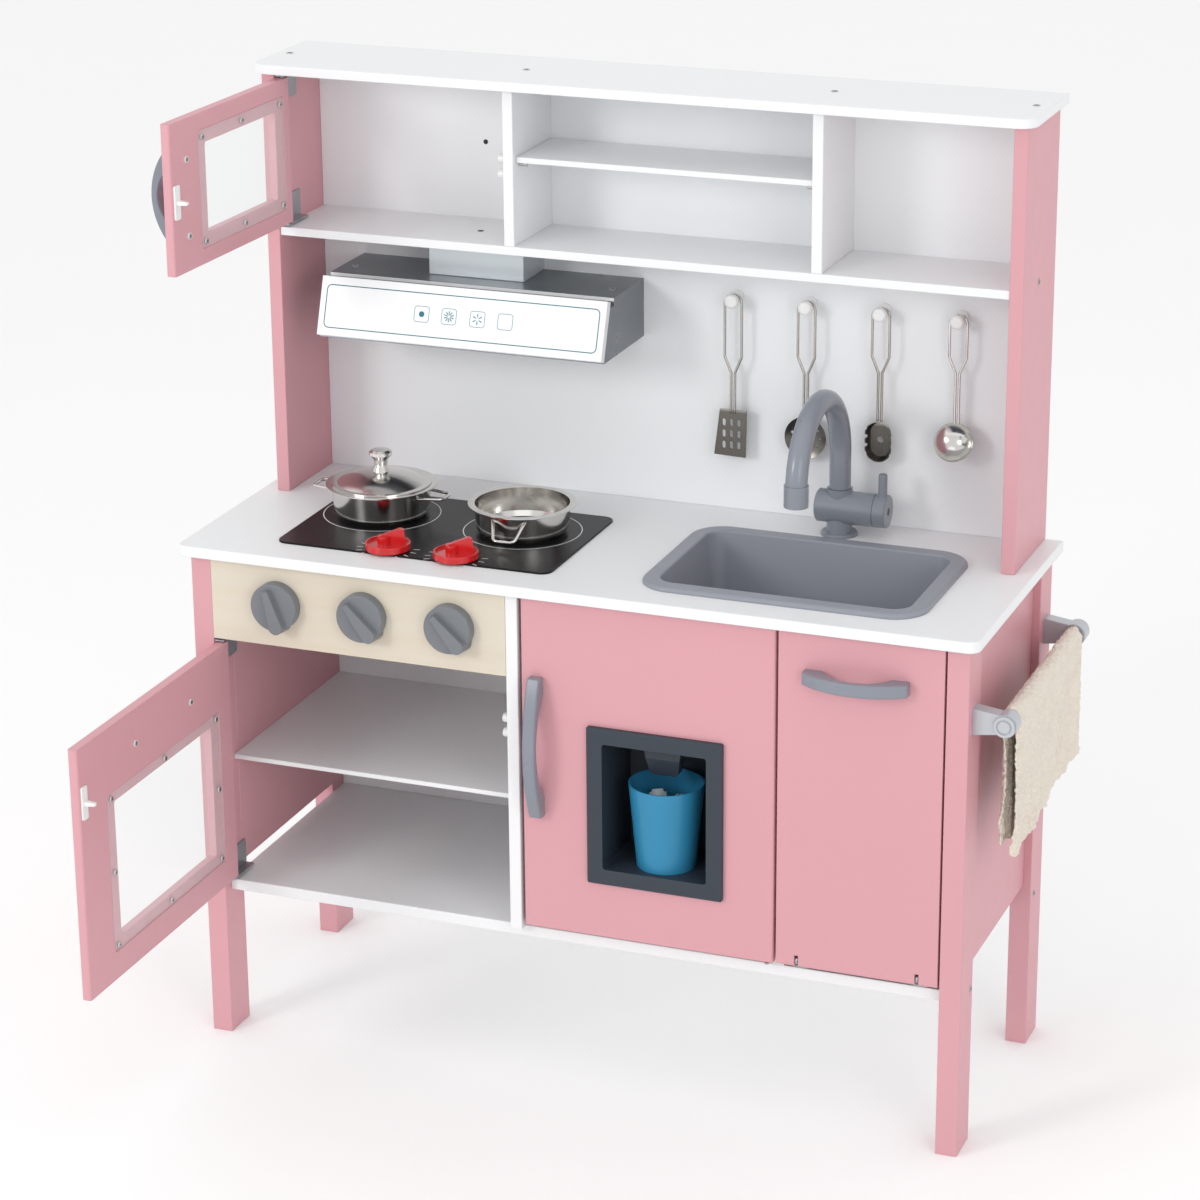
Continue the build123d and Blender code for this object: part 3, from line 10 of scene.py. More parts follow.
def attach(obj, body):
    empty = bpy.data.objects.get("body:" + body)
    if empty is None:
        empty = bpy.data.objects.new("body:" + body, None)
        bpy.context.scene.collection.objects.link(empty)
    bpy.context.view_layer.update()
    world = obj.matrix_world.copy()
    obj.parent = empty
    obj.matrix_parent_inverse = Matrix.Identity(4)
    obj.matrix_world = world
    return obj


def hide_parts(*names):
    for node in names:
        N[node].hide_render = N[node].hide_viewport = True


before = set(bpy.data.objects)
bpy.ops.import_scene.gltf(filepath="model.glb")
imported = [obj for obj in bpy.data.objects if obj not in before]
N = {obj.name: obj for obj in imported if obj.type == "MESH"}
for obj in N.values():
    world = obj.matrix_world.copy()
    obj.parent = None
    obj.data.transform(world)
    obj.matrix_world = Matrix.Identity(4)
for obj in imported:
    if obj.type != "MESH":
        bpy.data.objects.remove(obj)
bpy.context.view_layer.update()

OFFSET = Vector((-0.0207, -0.011, 0.0))  # the cabinet's place in the frame
X, Y, Z = Vector((1, 0, 0)), Vector((0, 1, 0)), Vector((0, 0, 1))
SMOOTH_ANGLE = math.radians(28)  # sharper edges than this stay crisp
UTENSIL_HEAD_TOP = 0.655  # the utensils' dark heads are below this height


def K(x, y, z):
    """A point of the kitchen's own drawing, in millimetres, as a point in the frame."""
    return Vector((x, y, z)) / 1000 + OFFSET


# ---- Materials

def material(name, color, rough=0.45, metal=0.0, coat=0.0, coat_rough=0.08, sheen=0.0, bump=0.05,
             fine=900.0, stretch=(1, 1, 1), tone=0.03, rough_var=0.07, ior=1.46, alpha=1.0,
             edge=0.0, edge_tint_and_highlight_color=None, round_edge=0.0, broad=5.0, grain=None, anisotropy=0.0):
    """A procedural surface: broad tone drift, fine bump, uneven gloss and a painted highlight on rounded
    edges (on the birch a warmer edge colour).
    """
    m = bpy.data.materials.new(name)
    m.use_nodes = True
    nt = m.node_tree
    nd, ln = nt.nodes, nt.links
    p = nd["Principled BSDF"]
    p.inputs["Metallic"].default_value = metal
    p.inputs["Coat Weight"].default_value = coat
    p.inputs["Coat Roughness"].default_value = coat_rough
    p.inputs["Sheen Weight"].default_value = sheen
    p.inputs["IOR"].default_value = ior
    p.inputs["Alpha"].default_value = alpha
    p.inputs["Anisotropic"].default_value = anisotropy
    tc = nd.new("ShaderNodeTexCoord")
    mp = nd.new("ShaderNodeMapping")
    mp.inputs["Scale"].default_value = stretch
    ln.new(tc.outputs["Object"], mp.inputs["Vector"])

    def noise(scale, detail=3.0, source=mp):
        n = nd.new("ShaderNodeTexNoise")
        n.inputs["Scale"].default_value = scale
        n.inputs["Detail"].default_value = detail
        ln.new(source.outputs[0], n.inputs["Vector"])
        return n

    def mix(fac, a, b):
        x = nd.new("ShaderNodeMix")
        x.data_type = "RGBA"
        for sock, value in ((x.inputs[0], fac), (x.inputs[6], a), (x.inputs[7], b)):
            if hasattr(value, "links"):
                ln.new(value, sock)
            else:
                sock.default_value = value
        return x.outputs[2]

    dark = [c * (1 - tone) for c in color] + [1]
    light = [min(1, c * (1 + tone)) for c in color] + [1]
    shade = mix(noise(broad, 2.0).outputs["Fac"], dark, light)
    if grain:
        rings = noise(grain["scale"], 6.0)
        ramp = nd.new("ShaderNodeMapRange")
        ramp.inputs["From Min"].default_value = 0.42
        ramp.inputs["From Max"].default_value = 0.72
        ramp.inputs["To Max"].default_value = grain["amount"]
        ln.new(rings.outputs["Fac"], ramp.inputs["Value"])
        shade = mix(ramp.outputs["Result"], shade, list(grain["color"]) + [1])
    normal = None
    if round_edge:
        bev = nd.new("ShaderNodeBevel")
        bev.samples = 4
        bev.inputs["Radius"].default_value = round_edge
        normal = bev.outputs["Normal"]
        # Painted highlight: where the bevelled normal turns away from the face, the colour moves to a
        # lighter edge colour, as if light caught the rounded edges; the birch's edge colour is warmer,
        # not lighter.
        if edge:
            geo = nd.new("ShaderNodeNewGeometry")
            dot = nd.new("ShaderNodeVectorMath")
            dot.operation = "DOT_PRODUCT"
            ln.new(normal, dot.inputs[0])
            ln.new(geo.outputs["True Normal"], dot.inputs[1])
            edge_tint_and_highlight_mask = nd.new("ShaderNodeMapRange")
            edge_tint_and_highlight_mask.inputs["From Min"].default_value = 0.985
            edge_tint_and_highlight_mask.inputs["From Max"].default_value = 0.85
            edge_tint_and_highlight_mask.inputs["To Max"].default_value = edge
            ln.new(dot.outputs["Value"], edge_tint_and_highlight_mask.inputs["Value"])
            shade = mix(edge_tint_and_highlight_mask.outputs["Result"], shade, list(edge_tint_and_highlight_color or light[:3]) + [1])
    ln.new(shade, p.inputs["Base Color"])
    rr = nd.new("ShaderNodeMapRange")
    rr.inputs["To Min"].default_value = max(0.02, rough - rough_var)
    rr.inputs["To Max"].default_value = min(1.0, rough + rough_var)
    ln.new(noise(fine * 0.06, 4.0).outputs["Fac"], rr.inputs["Value"])
    ln.new(rr.outputs["Result"], p.inputs["Roughness"])
    if bump:
        b = nd.new("ShaderNodeBump")
        b.inputs["Strength"].default_value = bump
        b.inputs["Distance"].default_value = 0.0006
        ln.new(noise(fine, 3.0).outputs["Fac"], b.inputs["Height"])
        if normal:
            ln.new(normal, b.inputs["Normal"])
        normal = b.outputs["Normal"]
    if normal:
        ln.new(normal, p.inputs["Normal"])
    return m


# The edge settings paint a highlight on rounded edges, a lighter colour there (the birch's edge colour is
# warmer, not lighter).
M = {
    "pink": material("pink_paint", (0.64, 0.322, 0.358), 0.42, bump=0.09, fine=700, tone=0.025,
                     round_edge=0.0012, edge=0.35, edge_tint_and_highlight_color=(0.88, 0.50, 0.53)),
    "white": material("white_paint", (0.80, 0.81, 0.82), 0.38, bump=0.05, fine=600, tone=0.012,
                      round_edge=0.0012, edge=0.25, edge_tint_and_highlight_color=(0.9, 0.9, 0.9)),
    "panel": material("pale_panel", (0.84, 0.855, 0.87), 0.5, bump=0.12, fine=420, stretch=(1, 1, 0.12),
                      tone=0.02),
    "birch": material("birch_ply", (0.66, 0.60, 0.50), 0.45, bump=0.16, fine=300, stretch=(0.12, 1, 1.6),
                      tone=0.03, grain={"scale": 42, "amount": 0.5, "color": (0.62, 0.54, 0.40)},
                      round_edge=0.0008, edge=0.4, edge_tint_and_highlight_color=(0.70, 0.56, 0.36)),
    "hood": material("hood_grey_paint", (0.20, 0.215, 0.235), 0.30, metal=0.55, bump=0.07, fine=500,
                     round_edge=0.001, edge=0.4, edge_tint_and_highlight_color=(0.3, 0.31, 0.33)),
    "silver": material("silver_paint", (0.66, 0.71, 0.74), 0.36, metal=0.35, bump=0.05, fine=900,
                       stretch=(1, 1, 0.1), round_edge=0.001),
    "black": material("black_gloss", (0.006, 0.006, 0.007), 0.30, ior=1.28, bump=0.0,
                      rough_var=0.03),
    "grey": material("grey_plastic", (0.215, 0.235, 0.275), 0.30, coat=0.35, coat_rough=0.15, bump=0.07,
                     fine=1100, round_edge=0.001, edge=0.25, edge_tint_and_highlight_color=(0.26, 0.28, 0.32)),
    "sink": material("sink_plastic", (0.27, 0.285, 0.325), 0.40, bump=0.10, fine=1300, tone=0.04,
                     round_edge=0.001),
    "knob": material("knob_plastic", (0.175, 0.188, 0.205), 0.38, bump=0.06, fine=1200, round_edge=0.0008,
                     edge=0.35, edge_tint_and_highlight_color=(0.24, 0.25, 0.27)),
    "dark": material("dark_plastic", (0.028, 0.038, 0.053), 0.42, bump=0.08, fine=1000, round_edge=0.0008,
                     edge=0.3, edge_tint_and_highlight_color=(0.08, 0.09, 0.12)),
    "bracket": material("silver_plastic", (0.50, 0.52, 0.55), 0.33, metal=0.5, bump=0.05, fine=1000,
                        round_edge=0.001),
    "red": material("red_plastic", (0.60, 0.012, 0.014), 0.24, coat=0.5, coat_rough=0.1, bump=0.05,
                    round_edge=0.0006),
    "whiteplastic": material("white_plastic", (0.82, 0.82, 0.81), 0.3, coat=0.2, bump=0.04,
                             round_edge=0.0005),
    "steel": material("polished_steel", (0.66, 0.645, 0.62), 0.15, metal=1.0, bump=0.05, fine=1600,
                      stretch=(1, 1, 0.15), tone=0.05, anisotropy=0.3),
    "darksteel": material("utensil_steel", (0.46, 0.44, 0.41), 0.26, metal=1.0, bump=0.05, fine=1500,
                          stretch=(1, 1, 0.2), tone=0.08),
    "zinc": material("zinc_plate", (0.42, 0.44, 0.46), 0.33, metal=0.9, bump=0.12, fine=800, tone=0.08),
    "screw": material("screw_steel", (0.50, 0.50, 0.50), 0.35, metal=0.9, bump=0.1, fine=1500),
    # Painted shade: a near-black colour standing in for the shade inside screw recesses and holes.
    "recess_shade": material("painted_recess_shade", (0.03, 0.03, 0.03), 0.6, metal=0.3, bump=0.05),
    "clear": material("clear_sheet", (0.90, 0.93, 0.94), 0.06, alpha=0.14, bump=0.01, fine=60,
                      rough_var=0.02, tone=0.005, coat=0.2),
    "blue": material("blue_tumbler", (0.035, 0.26, 0.46), 0.3, alpha=0.86, bump=0.04, fine=500,
                     tone=0.04, ior=1.4),
    "ice": material("clear_ice", (0.90, 0.96, 1.0), 0.12, alpha=0.75, bump=0.4, fine=180, ior=1.31),
    "teal": material("teal_print", (0.012, 0.155, 0.19), 0.5, bump=0.02),
    "pale_teal": material("pale_teal_print", (0.10, 0.27, 0.32), 0.5, bump=0.02),
    "whiteprint": material("white_print", (0.75, 0.75, 0.75), 0.4, bump=0.02),
    "floor": material("pale_floor", (0.97, 0.97, 0.97), 0.7, bump=0.02, fine=30, tone=0.005),
}


def dark_below(m, height, color):
    """Tints a material below a height, for the utensils' darker heads."""
    nt = m.node_tree
    p = nt.nodes["Principled BSDF"]
    split = nt.nodes.new("ShaderNodeSeparateXYZ")
    step = nt.nodes.new("ShaderNodeMapRange")
    step.inputs["From Min"].default_value = height + 0.002
    step.inputs["From Max"].default_value = height - 0.002
    x = nt.nodes.new("ShaderNodeMix")
    x.data_type = "RGBA"
    x.inputs[7].default_value = list(color) + [1]
    tc = next(n for n in nt.nodes if n.type == "TEX_COORD")
    nt.links.new(tc.outputs["Object"], split.inputs[0])
    nt.links.new(split.outputs["Z"], step.inputs["Value"])
    nt.links.new(p.inputs["Base Color"].links[0].from_socket, x.inputs[6])
    nt.links.new(step.outputs["Result"], x.inputs[0])
    nt.links.new(x.outputs[2], p.inputs["Base Color"])


dark_below(M["darksteel"], UTENSIL_HEAD_TOP, (0.15, 0.14, 0.125))
LOOKS = {
    "pink": ["front_legs", "rear_legs", "left_side_panel", "right_side_panel", "left_upper_side",
             "right_upper_side", "oven_door_panel", "microwave_door_panel", "fridge_door_panel",
             "drop_door_panel"],
    "white": ["bottom_board", "oven_divider", "fridge_divider", "oven_shelf", "worktop", "top_board",
              "upper_shelf", "upper_dividers", "centre_shelf", "hood_front"],
    "panel": ["upper_back_panel", "lower_back_panel"],
    "birch": ["control_panel"],
    "hood": ["hood_body"],
    "silver": ["hood_chimney"],
    "black": ["hob_panel"],
    "grey": ["tap_body", "tap_spout", "tap_lever", "oven_door_handle", "microwave_door_handle",
             "fridge_door_handle", "drop_door_handle"],
    "sink": ["sink_basin"],
    "knob": ["left_knob", "middle_knob", "right_knob"],
    "dark": ["dispenser_housing", "dispenser_paddle"],
    "bracket": ["towel_brackets", "towel_rail"],
    "red": ["left_burner_knob", "right_burner_knob"],
    "whiteplastic": ["utensil_pegs", "roller_catches", "oven_door_fittings", "microwave_door_fittings"],
    "steel": ["pot", "pot_lid", "pan", "ladle"],
    "darksteel": ["slotted_turner", "skimmer", "pasta_server"],
    "zinc": ["pivot_hinges"],
    "screw": ["cabinet_fasteners"],
    "clear": ["oven_door_window", "microwave_door_window"],
    "blue": ["cup"],
}
for look, names in LOOKS.items():
    for name in names:
        mesh = N[name].data
        mesh.materials.clear()
        mesh.materials.append(M[look])
        for poly in mesh.polygons:
            poly.use_smooth = True
        mesh.set_sharp_from_angle(angle=SMOOTH_ANGLE)


# ---- Mesh helpers

def piece(name, bm, mat, body, smooth=False):
    """A new mesh object that rides a CAD body."""
    mesh = bpy.data.meshes.new(name)
    bm.to_mesh(mesh)
    bm.free()
    o = bpy.data.objects.new(name, mesh)
    bpy.context.scene.collection.objects.link(o)
    mesh.materials.append(M[mat] if isinstance(mat, str) else mat)
    if smooth:
        for poly in mesh.polygons:
            poly.use_smooth = True
    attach(o, body)
    return o


def ribbon(bm, origin, u, v, path, width, lift=0.00012):
    """A flat closed line of a given width on the plane of u and v, just above it."""
    n = u.cross(v)
    count = len(path)
    inner, outer = [], []
    for i in range(count):
        a, b, c = path[i - 1], path[i], path[(i + 1) % count]
        t = Vector((c[0] - a[0], c[1] - a[1])).normalized()
        s = Vector((-t.y, t.x)) * width / 2
        for ring, sign in ((inner, 1), (outer, -1)):
            q = (b[0] + sign * s.x, b[1] + sign * s.y)
            ring.append(bm.verts.new(origin + u * q[0] + v * q[1] + n * lift))
    for i in range(count):
        j = (i + 1) % count
        bm.faces.new((outer[i], outer[j], inner[j], inner[i]))


def rounded(cx, cy, w, h, r, steps=6):
    """Points of a rounded rectangle."""
    pts = []
    for k, (sx, sy) in enumerate(((1, 1), (-1, 1), (-1, -1), (1, -1))):
        for i in range(steps + 1):
            a = math.pi / 2 * (k + i / steps)
            pts.append((cx + sx * (w / 2 - r) + r * math.cos(a),
                        cy + sy * (h / 2 - r) + r * math.sin(a)))
    return pts


def circle(cx, cy, r, steps=64):
    """Points of a circle."""
    return [(cx + r * math.cos(2 * math.pi * i / steps), cy + r * math.sin(2 * math.pi * i / steps))
            for i in range(steps)]


def patch(bm, origin, u, v, pts, lift=0.00014):
    """A flat filled outline on the plane of u and v, just above it."""
    n = u.cross(v)
    bm.faces.new([bm.verts.new(origin + u * x + v * y + n * lift) for x, y in pts])


def spoke(bm, origin, u, v, centre, angle, near, far):
    """A short mark that points away from a centre: near and far are (distance, half width)."""
    d = Vector((math.cos(angle), math.sin(angle)))
    s = Vector((-math.sin(angle), math.cos(angle)))
    pts = [d * near[0] - s * near[1], d * far[0] - s * far[1],
           d * far[0] + s * far[1], d * near[0] + s * near[1]]
    patch(bm, origin, u, v, [(centre[0] + q.x, centre[1] + q.y) for q in pts])


# ---- Printed details on the hood and the hob

hood_o = K(-340, 181, 725)  # the lower left corner of the hood's leaning front board
hood_v = Vector((0, 20, 58)).normalized()
ICON_X = (0.1145, 0.1447, 0.176, 0.2065)
ICON_V = 0.031
ICON_SIZE = 0.0160
ICON_RAYS = ((ICON_X[1], 10), (ICON_X[2], 6))
bm = bmesh.new()
ribbon(bm, hood_o, X, hood_v, rounded(0.157, 0.0305, 0.300, 0.044, 0.005), 0.0010)
bmesh.ops.recalc_face_normals(bm, faces=bm.faces)
piece("hood_outline_print", bm, "teal", "cabinet")
bm = bmesh.new()
for cx in ICON_X:
    ribbon(bm, hood_o, X, hood_v, rounded(cx, ICON_V, ICON_SIZE, ICON_SIZE, 0.0028), 0.0006)
for cx, rays in ICON_RAYS:
    for i in range(rays):
        angle = 2 * math.pi * (i + 0.5) / rays
        spoke(bm, hood_o, X, hood_v, (cx, ICON_V), angle, (0.0016, 0.0004), (0.0055, 0.0007))
piece("hood_icon_print", bm, "pale_teal", "cabinet")
bm = bmesh.new()
patch(bm, hood_o, X, hood_v, circle(ICON_X[0], ICON_V, 0.0030, 24))
piece("hood_dot_print", bm, "teal", "cabinet")
bm = bmesh.new()
patch(bm, K(-340, 219, 778.4), X, Z,
      [(0.0005, 0), (0.3135, 0), (0.3135, 0.0034), (0.0005, 0.0034)])
piece("hood_lip_edge", bm, "white", "cabinet")

hob = K(0, 0, 547)
BURNERS = ((-262, 161), (-104, 158))
BURNER_RING = 0.0605
DIALS = ((-209, 58), (-134, 56))
TICKS = 11
FIRST_TICK, TICK_STEP = 167, 20.6  # in degrees
bm = bmesh.new()
for cx, cy in BURNERS:
    ribbon(bm, hob, X, Y, circle(cx / 1000, cy / 1000, BURNER_RING, 96), 0.0011)
for cx, cy in DIALS:
    for i in range(TICKS):
        angle = math.radians(FIRST_TICK + i * TICK_STEP)
        spoke(bm, hob, X, Y, (cx / 1000, cy / 1000), angle, (0.0262, 0.0006), (0.0325, 0.0006))
piece("hob_print", bm, "whiteprint", "cabinet")

# ---- Screws: painted shade of the cross recesses on the cabinet and the windowed doors, and the doors' rounded heads

PIVOT_INSET = 0.005  # from a door's inner face to its pivot
HEAD_SIDES = 20
HEAD_PROFILE = ((0.0030, -0.0003), (0.0028, 0.00004), (0.0023, 0.00009))  # (radius, height)


def painted_cross_shade(name, places, body, size, lift):
    """Painted shade of cross recesses on screw heads, as dark flat crosses: places are (centre, outward
    normal).
    """
    bm = bmesh.new()
    for c, n in places:
        n = n.normalized()
        u = n.orthogonal().normalized()
        u = Matrix.Rotation(random.Random(int(c.length * 1e5)).uniform(0, 1.5), 3, n) @ u
        v = n.cross(u)
        for a, b in ((u, v), (v, u)):
            q = [c + n * lift + a * (sa * size) + b * (sb * size * 0.2) for sa, sb in
                 ((-1, -1), (1, -1), (1, 1), (-1, 1))]
            bm.faces.new([bm.verts.new(p) for p in q])
    bmesh.ops.recalc_face_normals(bm, faces=bm.faces)
    return piece(name, bm, "recess_shade", body)


cab = [(K(x, 251, 1000.6), Z) for x in (-393, -131, 192, 393)]
cab += [(K(x, 250, 782.6), Z) for x in (-326, -40)]
cab += [(K(s * 408.6, y, 167), X * s) for s in (-1, 1) for y in (48.6, 289.5)]
cab += [(K(s * 400.6, 256, 827), X * s) for s in (-1, 1)]
painted_cross_shade("cabinet_screw_cross_shade", cab, "cabinet", 0.0022, 0.00012)


def door_frame(px, py, bottom, angle):
    """The foot of a windowed door's pivot on its inner face, and the ways along and inward."""
    t = math.radians(angle)
    out = Vector((-math.sin(t), -math.cos(t), 0))
    along = Vector((math.cos(t), -math.sin(t), 0))
    return K(px, py, bottom) - out * PIVOT_INSET, along, -out


def rounded_heads(name, places, body):
    """Low domed screw heads: places are (centre, outward normal)."""
    bm = bmesh.new()
    for c, n in places:
        n = n.normalized()
        u = n.orthogonal().normalized()
        v = n.cross(u)
        rings = []
        for r, h in HEAD_PROFILE:
            ring = []
            for k in range(HEAD_SIDES):
                a = k * math.pi / (HEAD_SIDES / 2)
                ring.append(bm.verts.new(c + n * h + u * r * math.cos(a) + v * r * math.sin(a)))
            rings.append(ring)
        for lo, hi in zip(rings, rings[1:]):
            for k in range(HEAD_SIDES):
                after = (k + 1) % HEAD_SIDES
                bm.faces.new((lo[k], lo[after], hi[after], hi[k]))
        bm.faces.new(rings[-1])
    piece(name, bm, "screw", body, smooth=True)


for tag, (o, along, inward), screws in (
    ("oven", door_frame(-379.5, 18, 179, 90),
     [(x, z) for x in (31.5, 142.5, 253.5) for z in (34, 188)] + [(31.5, 111), (253.5, 111)]
     + [(83.2, 226), (200.2, 226)]),
    ("microwave", door_frame(-379.5, 204, 835, 92),
     [(x, z) for x in (16.5, 97.25, 178) for z in (22, 126)] + [(211, 34.5), (211, 110.5)]),
):
    places = [(o + along * x / 1000 + Z * z / 1000 + inward * 0.0015, inward) for x, z in screws]
    painted_cross_shade(tag + "_door_screw_cross_shade", places, tag + "_door", 0.0017, 0.00012)
    rounded_heads(tag + "_door_screw_heads", places, tag + "_door")

# ---- Painted shade of two small holes inside the top left cupboard, as dark discs

bm = bmesh.new()
patch(bm, K(-198.8, 303, 911), X, Z, circle(0, 0, 0.0026, 20))
patch(bm, K(-184, 251, 830.5), X, Y, circle(0, 0, 0.0034, 20))
piece("screw_hole_shade", bm, "recess_shade", "cabinet")

# ---- Ice cubes in the cup

ICE_SIZE = 0.017
ICE_PLACES = ((86, 38, 312), (102, 54, 316), (96, 30, 322), (80, 55, 320), (108, 40, 305), (92, 48, 292))
rng = random.Random(7)
for i, (x, y, z) in enumerate(ICE_PLACES):
    bm = bmesh.new()
    bmesh.ops.create_cube(bm, size=ICE_SIZE)
    bmesh.ops.bevel(bm, geom=bm.edges, offset=0.003, segments=3, affect="EDGES")
    for vtx in bm.verts:
        vtx.co *= 1 + 0.03 * math.sin(vtx.co.x * 900 + i) * math.cos(vtx.co.y * 700)
    angle = rng.uniform(0, 3)
    axis = Vector((rng.random(), rng.random(), rng.random())).normalized()
    bmesh.ops.rotate(bm, verts=bm.verts, cent=(0, 0, 0), matrix=Matrix.Rotation(angle, 3, axis))
    bmesh.ops.translate(bm, verts=bm.verts, vec=K(x, y, z))
    piece(f"ice_cube_{i + 1}", bm, "ice", "cup", smooth=True)

# ---- Towel

def terry():
    """Looped cotton: the cloth's own bump is laid over a bump of small round loops."""
    m = material("terry_cloth", (0.90, 0.81, 0.69), 0.95, sheen=0.5, bump=0.9, fine=1500, tone=0.07,
                 broad=60, rough_var=0.04)
    nt = m.node_tree
    weave = next(n for n in nt.nodes if n.type == "BUMP")
    weave.inputs["Distance"].default_value = 0.0012
    loops = nt.nodes.new("ShaderNodeTexVoronoi")
    loops.inputs["Scale"].default_value = 620
    tc = next(t for t in nt.nodes if t.type == "TEX_COORD")
    nt.links.new(tc.outputs["Object"], loops.inputs["Vector"])
    pile_bump = nt.nodes.new("ShaderNodeBump")
    pile_bump.inputs["Strength"].default_value = 0.8
    pile_bump.inputs["Distance"].default_value = 0.001
    nt.links.new(loops.outputs["Distance"], pile_bump.inputs["Height"])
    nt.links.new(pile_bump.outputs["Normal"], weave.inputs["Normal"])
    return m


RAIL = K(440, 0, 456)
W, L = 0.235, 0.300  # along the rail, and over it
NU, NV = 62, 80
LAP = 0.0093  # from the rail's axis to the cloth where it turns over
HELD_ABOVE = 0.0086  # above the rail's axis, the cloth is held still
SCALLOP = 0.0028
FRONT_LENGTH, TAPER = 1.03, 0.10  # the length over the rail, as shares of L, falls towards the back
ASKEW = 0.05
FRAMES = 45
SOLIDS = ("towel_rail", "towel_brackets", "right_side_panel", "front_legs", "rear_legs")


def scallop(step, edge, last):
    """The wavy outline's offset, on the two outermost rows only."""
    return SCALLOP * abs(math.sin(step * math.pi / 4)) * (1 if edge == last else -1 if edge == 0 else 0)


bm = bmesh.new()
grid = []
for i in range(NU + 1):
    row = []
    for j in range(NV + 1):
        u = (i / NU - 0.5) * W
        v = (j / NV - 0.5) * L * (FRONT_LENGTH - TAPER * i / NU)
        u += scallop(j, i, NU)
        v += scallop(i, j, NV)
        v -= ASKEW * u
        side, reach = (1 if v > 0 else -1), abs(v) / LAP
        y = K(0, 168, 0).y + u
        if reach < math.pi / 2:
            x, z = side * LAP * math.sin(reach), LAP * math.cos(reach)
        else:
            # below the turn the sides spread a little, with slight folds
            drop = abs(v) - LAP * math.pi / 2
            x = side * (LAP + 0.03 * drop) + 0.05 * drop * math.sin(u * 55 + 1.2 * side)
            x += 0.02 * drop * math.sin(u * 120 + v * 40)
            y += 0.10 * drop * (0.5 - i / NU)
            z = -drop
        row.append(bm.verts.new((RAIL.x + x, y, RAIL.z + z)))
    grid.append(row)
for i in range(NU):
    for j in range(NV):
        bm.faces.new((grid[i][j], grid[i + 1][j], grid[i + 1][j + 1], grid[i][j + 1]))
mesh = bpy.data.meshes.new("towel_cloth")
bm.to_mesh(mesh)
bm.free()
towel = bpy.data.objects.new("towel_cloth", mesh)
bpy.context.scene.collection.objects.link(towel)
mesh.materials.append(terry())


def drape(o):
    """Lets the towel fall over the rail, held where it lies on top of it."""
    scene = bpy.context.scene
    scene.frame_start, scene.frame_end = 1, FRAMES
    held = o.vertex_groups.new(name="held")
    held.add([v.index for v in o.data.vertices if v.co.z > RAIL.z + HELD_ABOVE], 1.0, "REPLACE")
    solids = []
    for name in SOLIDS:
        solid = N[name].copy()
        solid.data = N[name].data.copy()
        scene.collection.objects.link(solid)
        solid.name = "drape_" + name
        solid.modifiers.new("hit", "COLLISION")
        solid.collision.thickness_outer = 0.0012
        solid.collision.cloth_friction = 25
        solids.append(solid)
    cloth = o.modifiers.new("cloth", "CLOTH")
    s = cloth.settings
    s.quality = 7
    s.mass = 0.35
    s.tension_stiffness = 18
    s.compression_stiffness = 18
    s.shear_stiffness = 8
    s.bending_stiffness = 0.35
    s.tension_damping = 8
    s.air_damping = 2.5
    s.vertex_group_mass = "held"
    cloth.collision_settings.distance_min = 0.0012
    cloth.collision_settings.collision_quality = 3
    cloth.collision_settings.use_self_collision = True
    cloth.collision_settings.self_distance_min = 0.0015
    cloth.point_cache.frame_start, cloth.point_cache.frame_end = 1, FRAMES
    for f in range(1, FRAMES + 1):
        scene.frame_set(f)
    graph = bpy.context.evaluated_depsgraph_get()
    done = bpy.data.meshes.new_from_object(o.evaluated_get(graph))
    o.modifiers.clear()
    o.vertex_groups.clear()
    o.data = done
    scene.frame_set(1)
    for solid in solids:
        bpy.data.objects.remove(solid)


drape(towel)
for poly in towel.data.polygons:
    poly.use_smooth = True
thick = towel.modifiers.new("thickness", "SOLIDIFY")
thick.thickness = 0.0022
thick.offset = 0
fine = towel.modifiers.new("fine", "SUBSURF")
fine.levels = fine.render_levels = 2
pile = bpy.data.textures.new("pile", "CLOUDS")
pile.noise_scale = 0.0035
pile.noise_depth = 1
tufts = towel.modifiers.new("tufts", "DISPLACE")
tufts.texture = pile
tufts.texture_coords = "LOCAL"
tufts.strength = 0.0034
tufts.mid_level = 0.5
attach(towel, "cabinet")
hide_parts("towel")

# ---- Floor, lights and camera

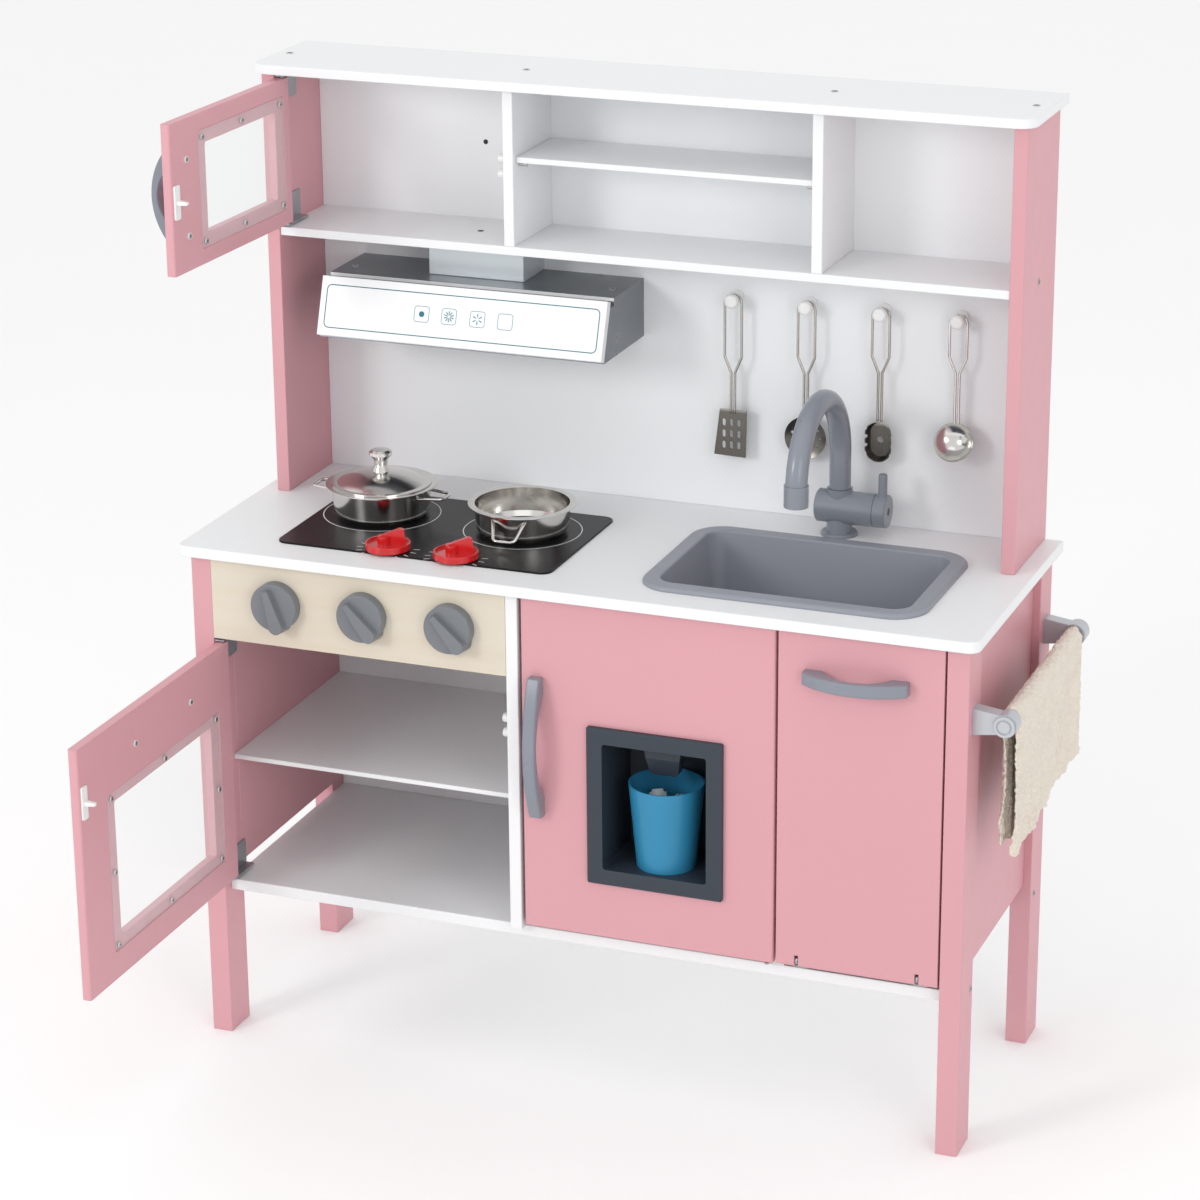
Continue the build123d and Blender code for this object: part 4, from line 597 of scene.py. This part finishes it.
FLOOR_SIZE = 20
WORLD_STRENGTH = 0.94
LENS = 108.743
CAMERA_PLACE = K(1241.6, -3067.8, 1724.5)
CAMERA_YAW, CAMERA_PITCH, CAMERA_ROLL = 0.3729, -0.3445, 0.0084

bm = bmesh.new()
bmesh.ops.create_grid(bm, x_segments=1, y_segments=1, size=FLOOR_SIZE)
floor_mesh = bpy.data.meshes.new("floor")
bm.to_mesh(floor_mesh)
bm.free()
floor = bpy.data.objects.new("floor", floor_mesh)
floor_mesh.materials.append(M["floor"])
bpy.context.scene.collection.objects.link(floor)

world = bpy.data.worlds.new("studio")
bpy.context.scene.world = world
world.use_nodes = True
sky = world.node_tree.nodes["Background"]
sky.inputs["Color"].default_value = (1.0, 1.0, 1.0, 1)
sky.inputs["Strength"].default_value = WORLD_STRENGTH


def softbox(name, place, aim, size, watts):
    """A round area light at a place, turned towards its aim."""
    data = bpy.data.lights.new(name, "AREA")
    data.shape = "DISK"
    data.size = size
    data.energy = watts
    o = bpy.data.objects.new(name, data)
    bpy.context.scene.collection.objects.link(o)
    o.location = place
    o.rotation_euler = (Vector(aim) - Vector(place)).to_track_quat("-Z", "Y").to_euler()


softbox("key", (-1.9, -2.9, 1.9), (0, 0, 0.6), 1.1, 30)
softbox("top", (0.3, -0.9, 3.0), (0, 0.1, 0.5), 1.6, 3)
softbox("fill", (2.5, -2.4, 1.5), (0, 0, 0.5), 1.6, 16)

cam_data = bpy.data.cameras.new("camera")
cam_data.sensor_width = 36.0
cam_data.lens = LENS
cam = bpy.data.objects.new("camera", cam_data)
bpy.context.scene.collection.objects.link(cam)
bpy.context.scene.camera = cam
turn = (Matrix.Rotation(CAMERA_YAW, 3, "Z") @ Matrix.Rotation(CAMERA_PITCH, 3, "X")
        @ Matrix.Rotation(CAMERA_ROLL, 3, "Y"))
right, ahead, up = turn.col[0], turn.col[1], turn.col[2]
facing = Matrix((right, up, -ahead)).transposed().to_4x4()
cam.matrix_world = Matrix.Translation(CAMERA_PLACE) @ facing
cam_data.clip_end = 60

view = bpy.context.scene.view_settings
view.view_transform = "Standard"
view.look = "None"
view.exposure = 0.0
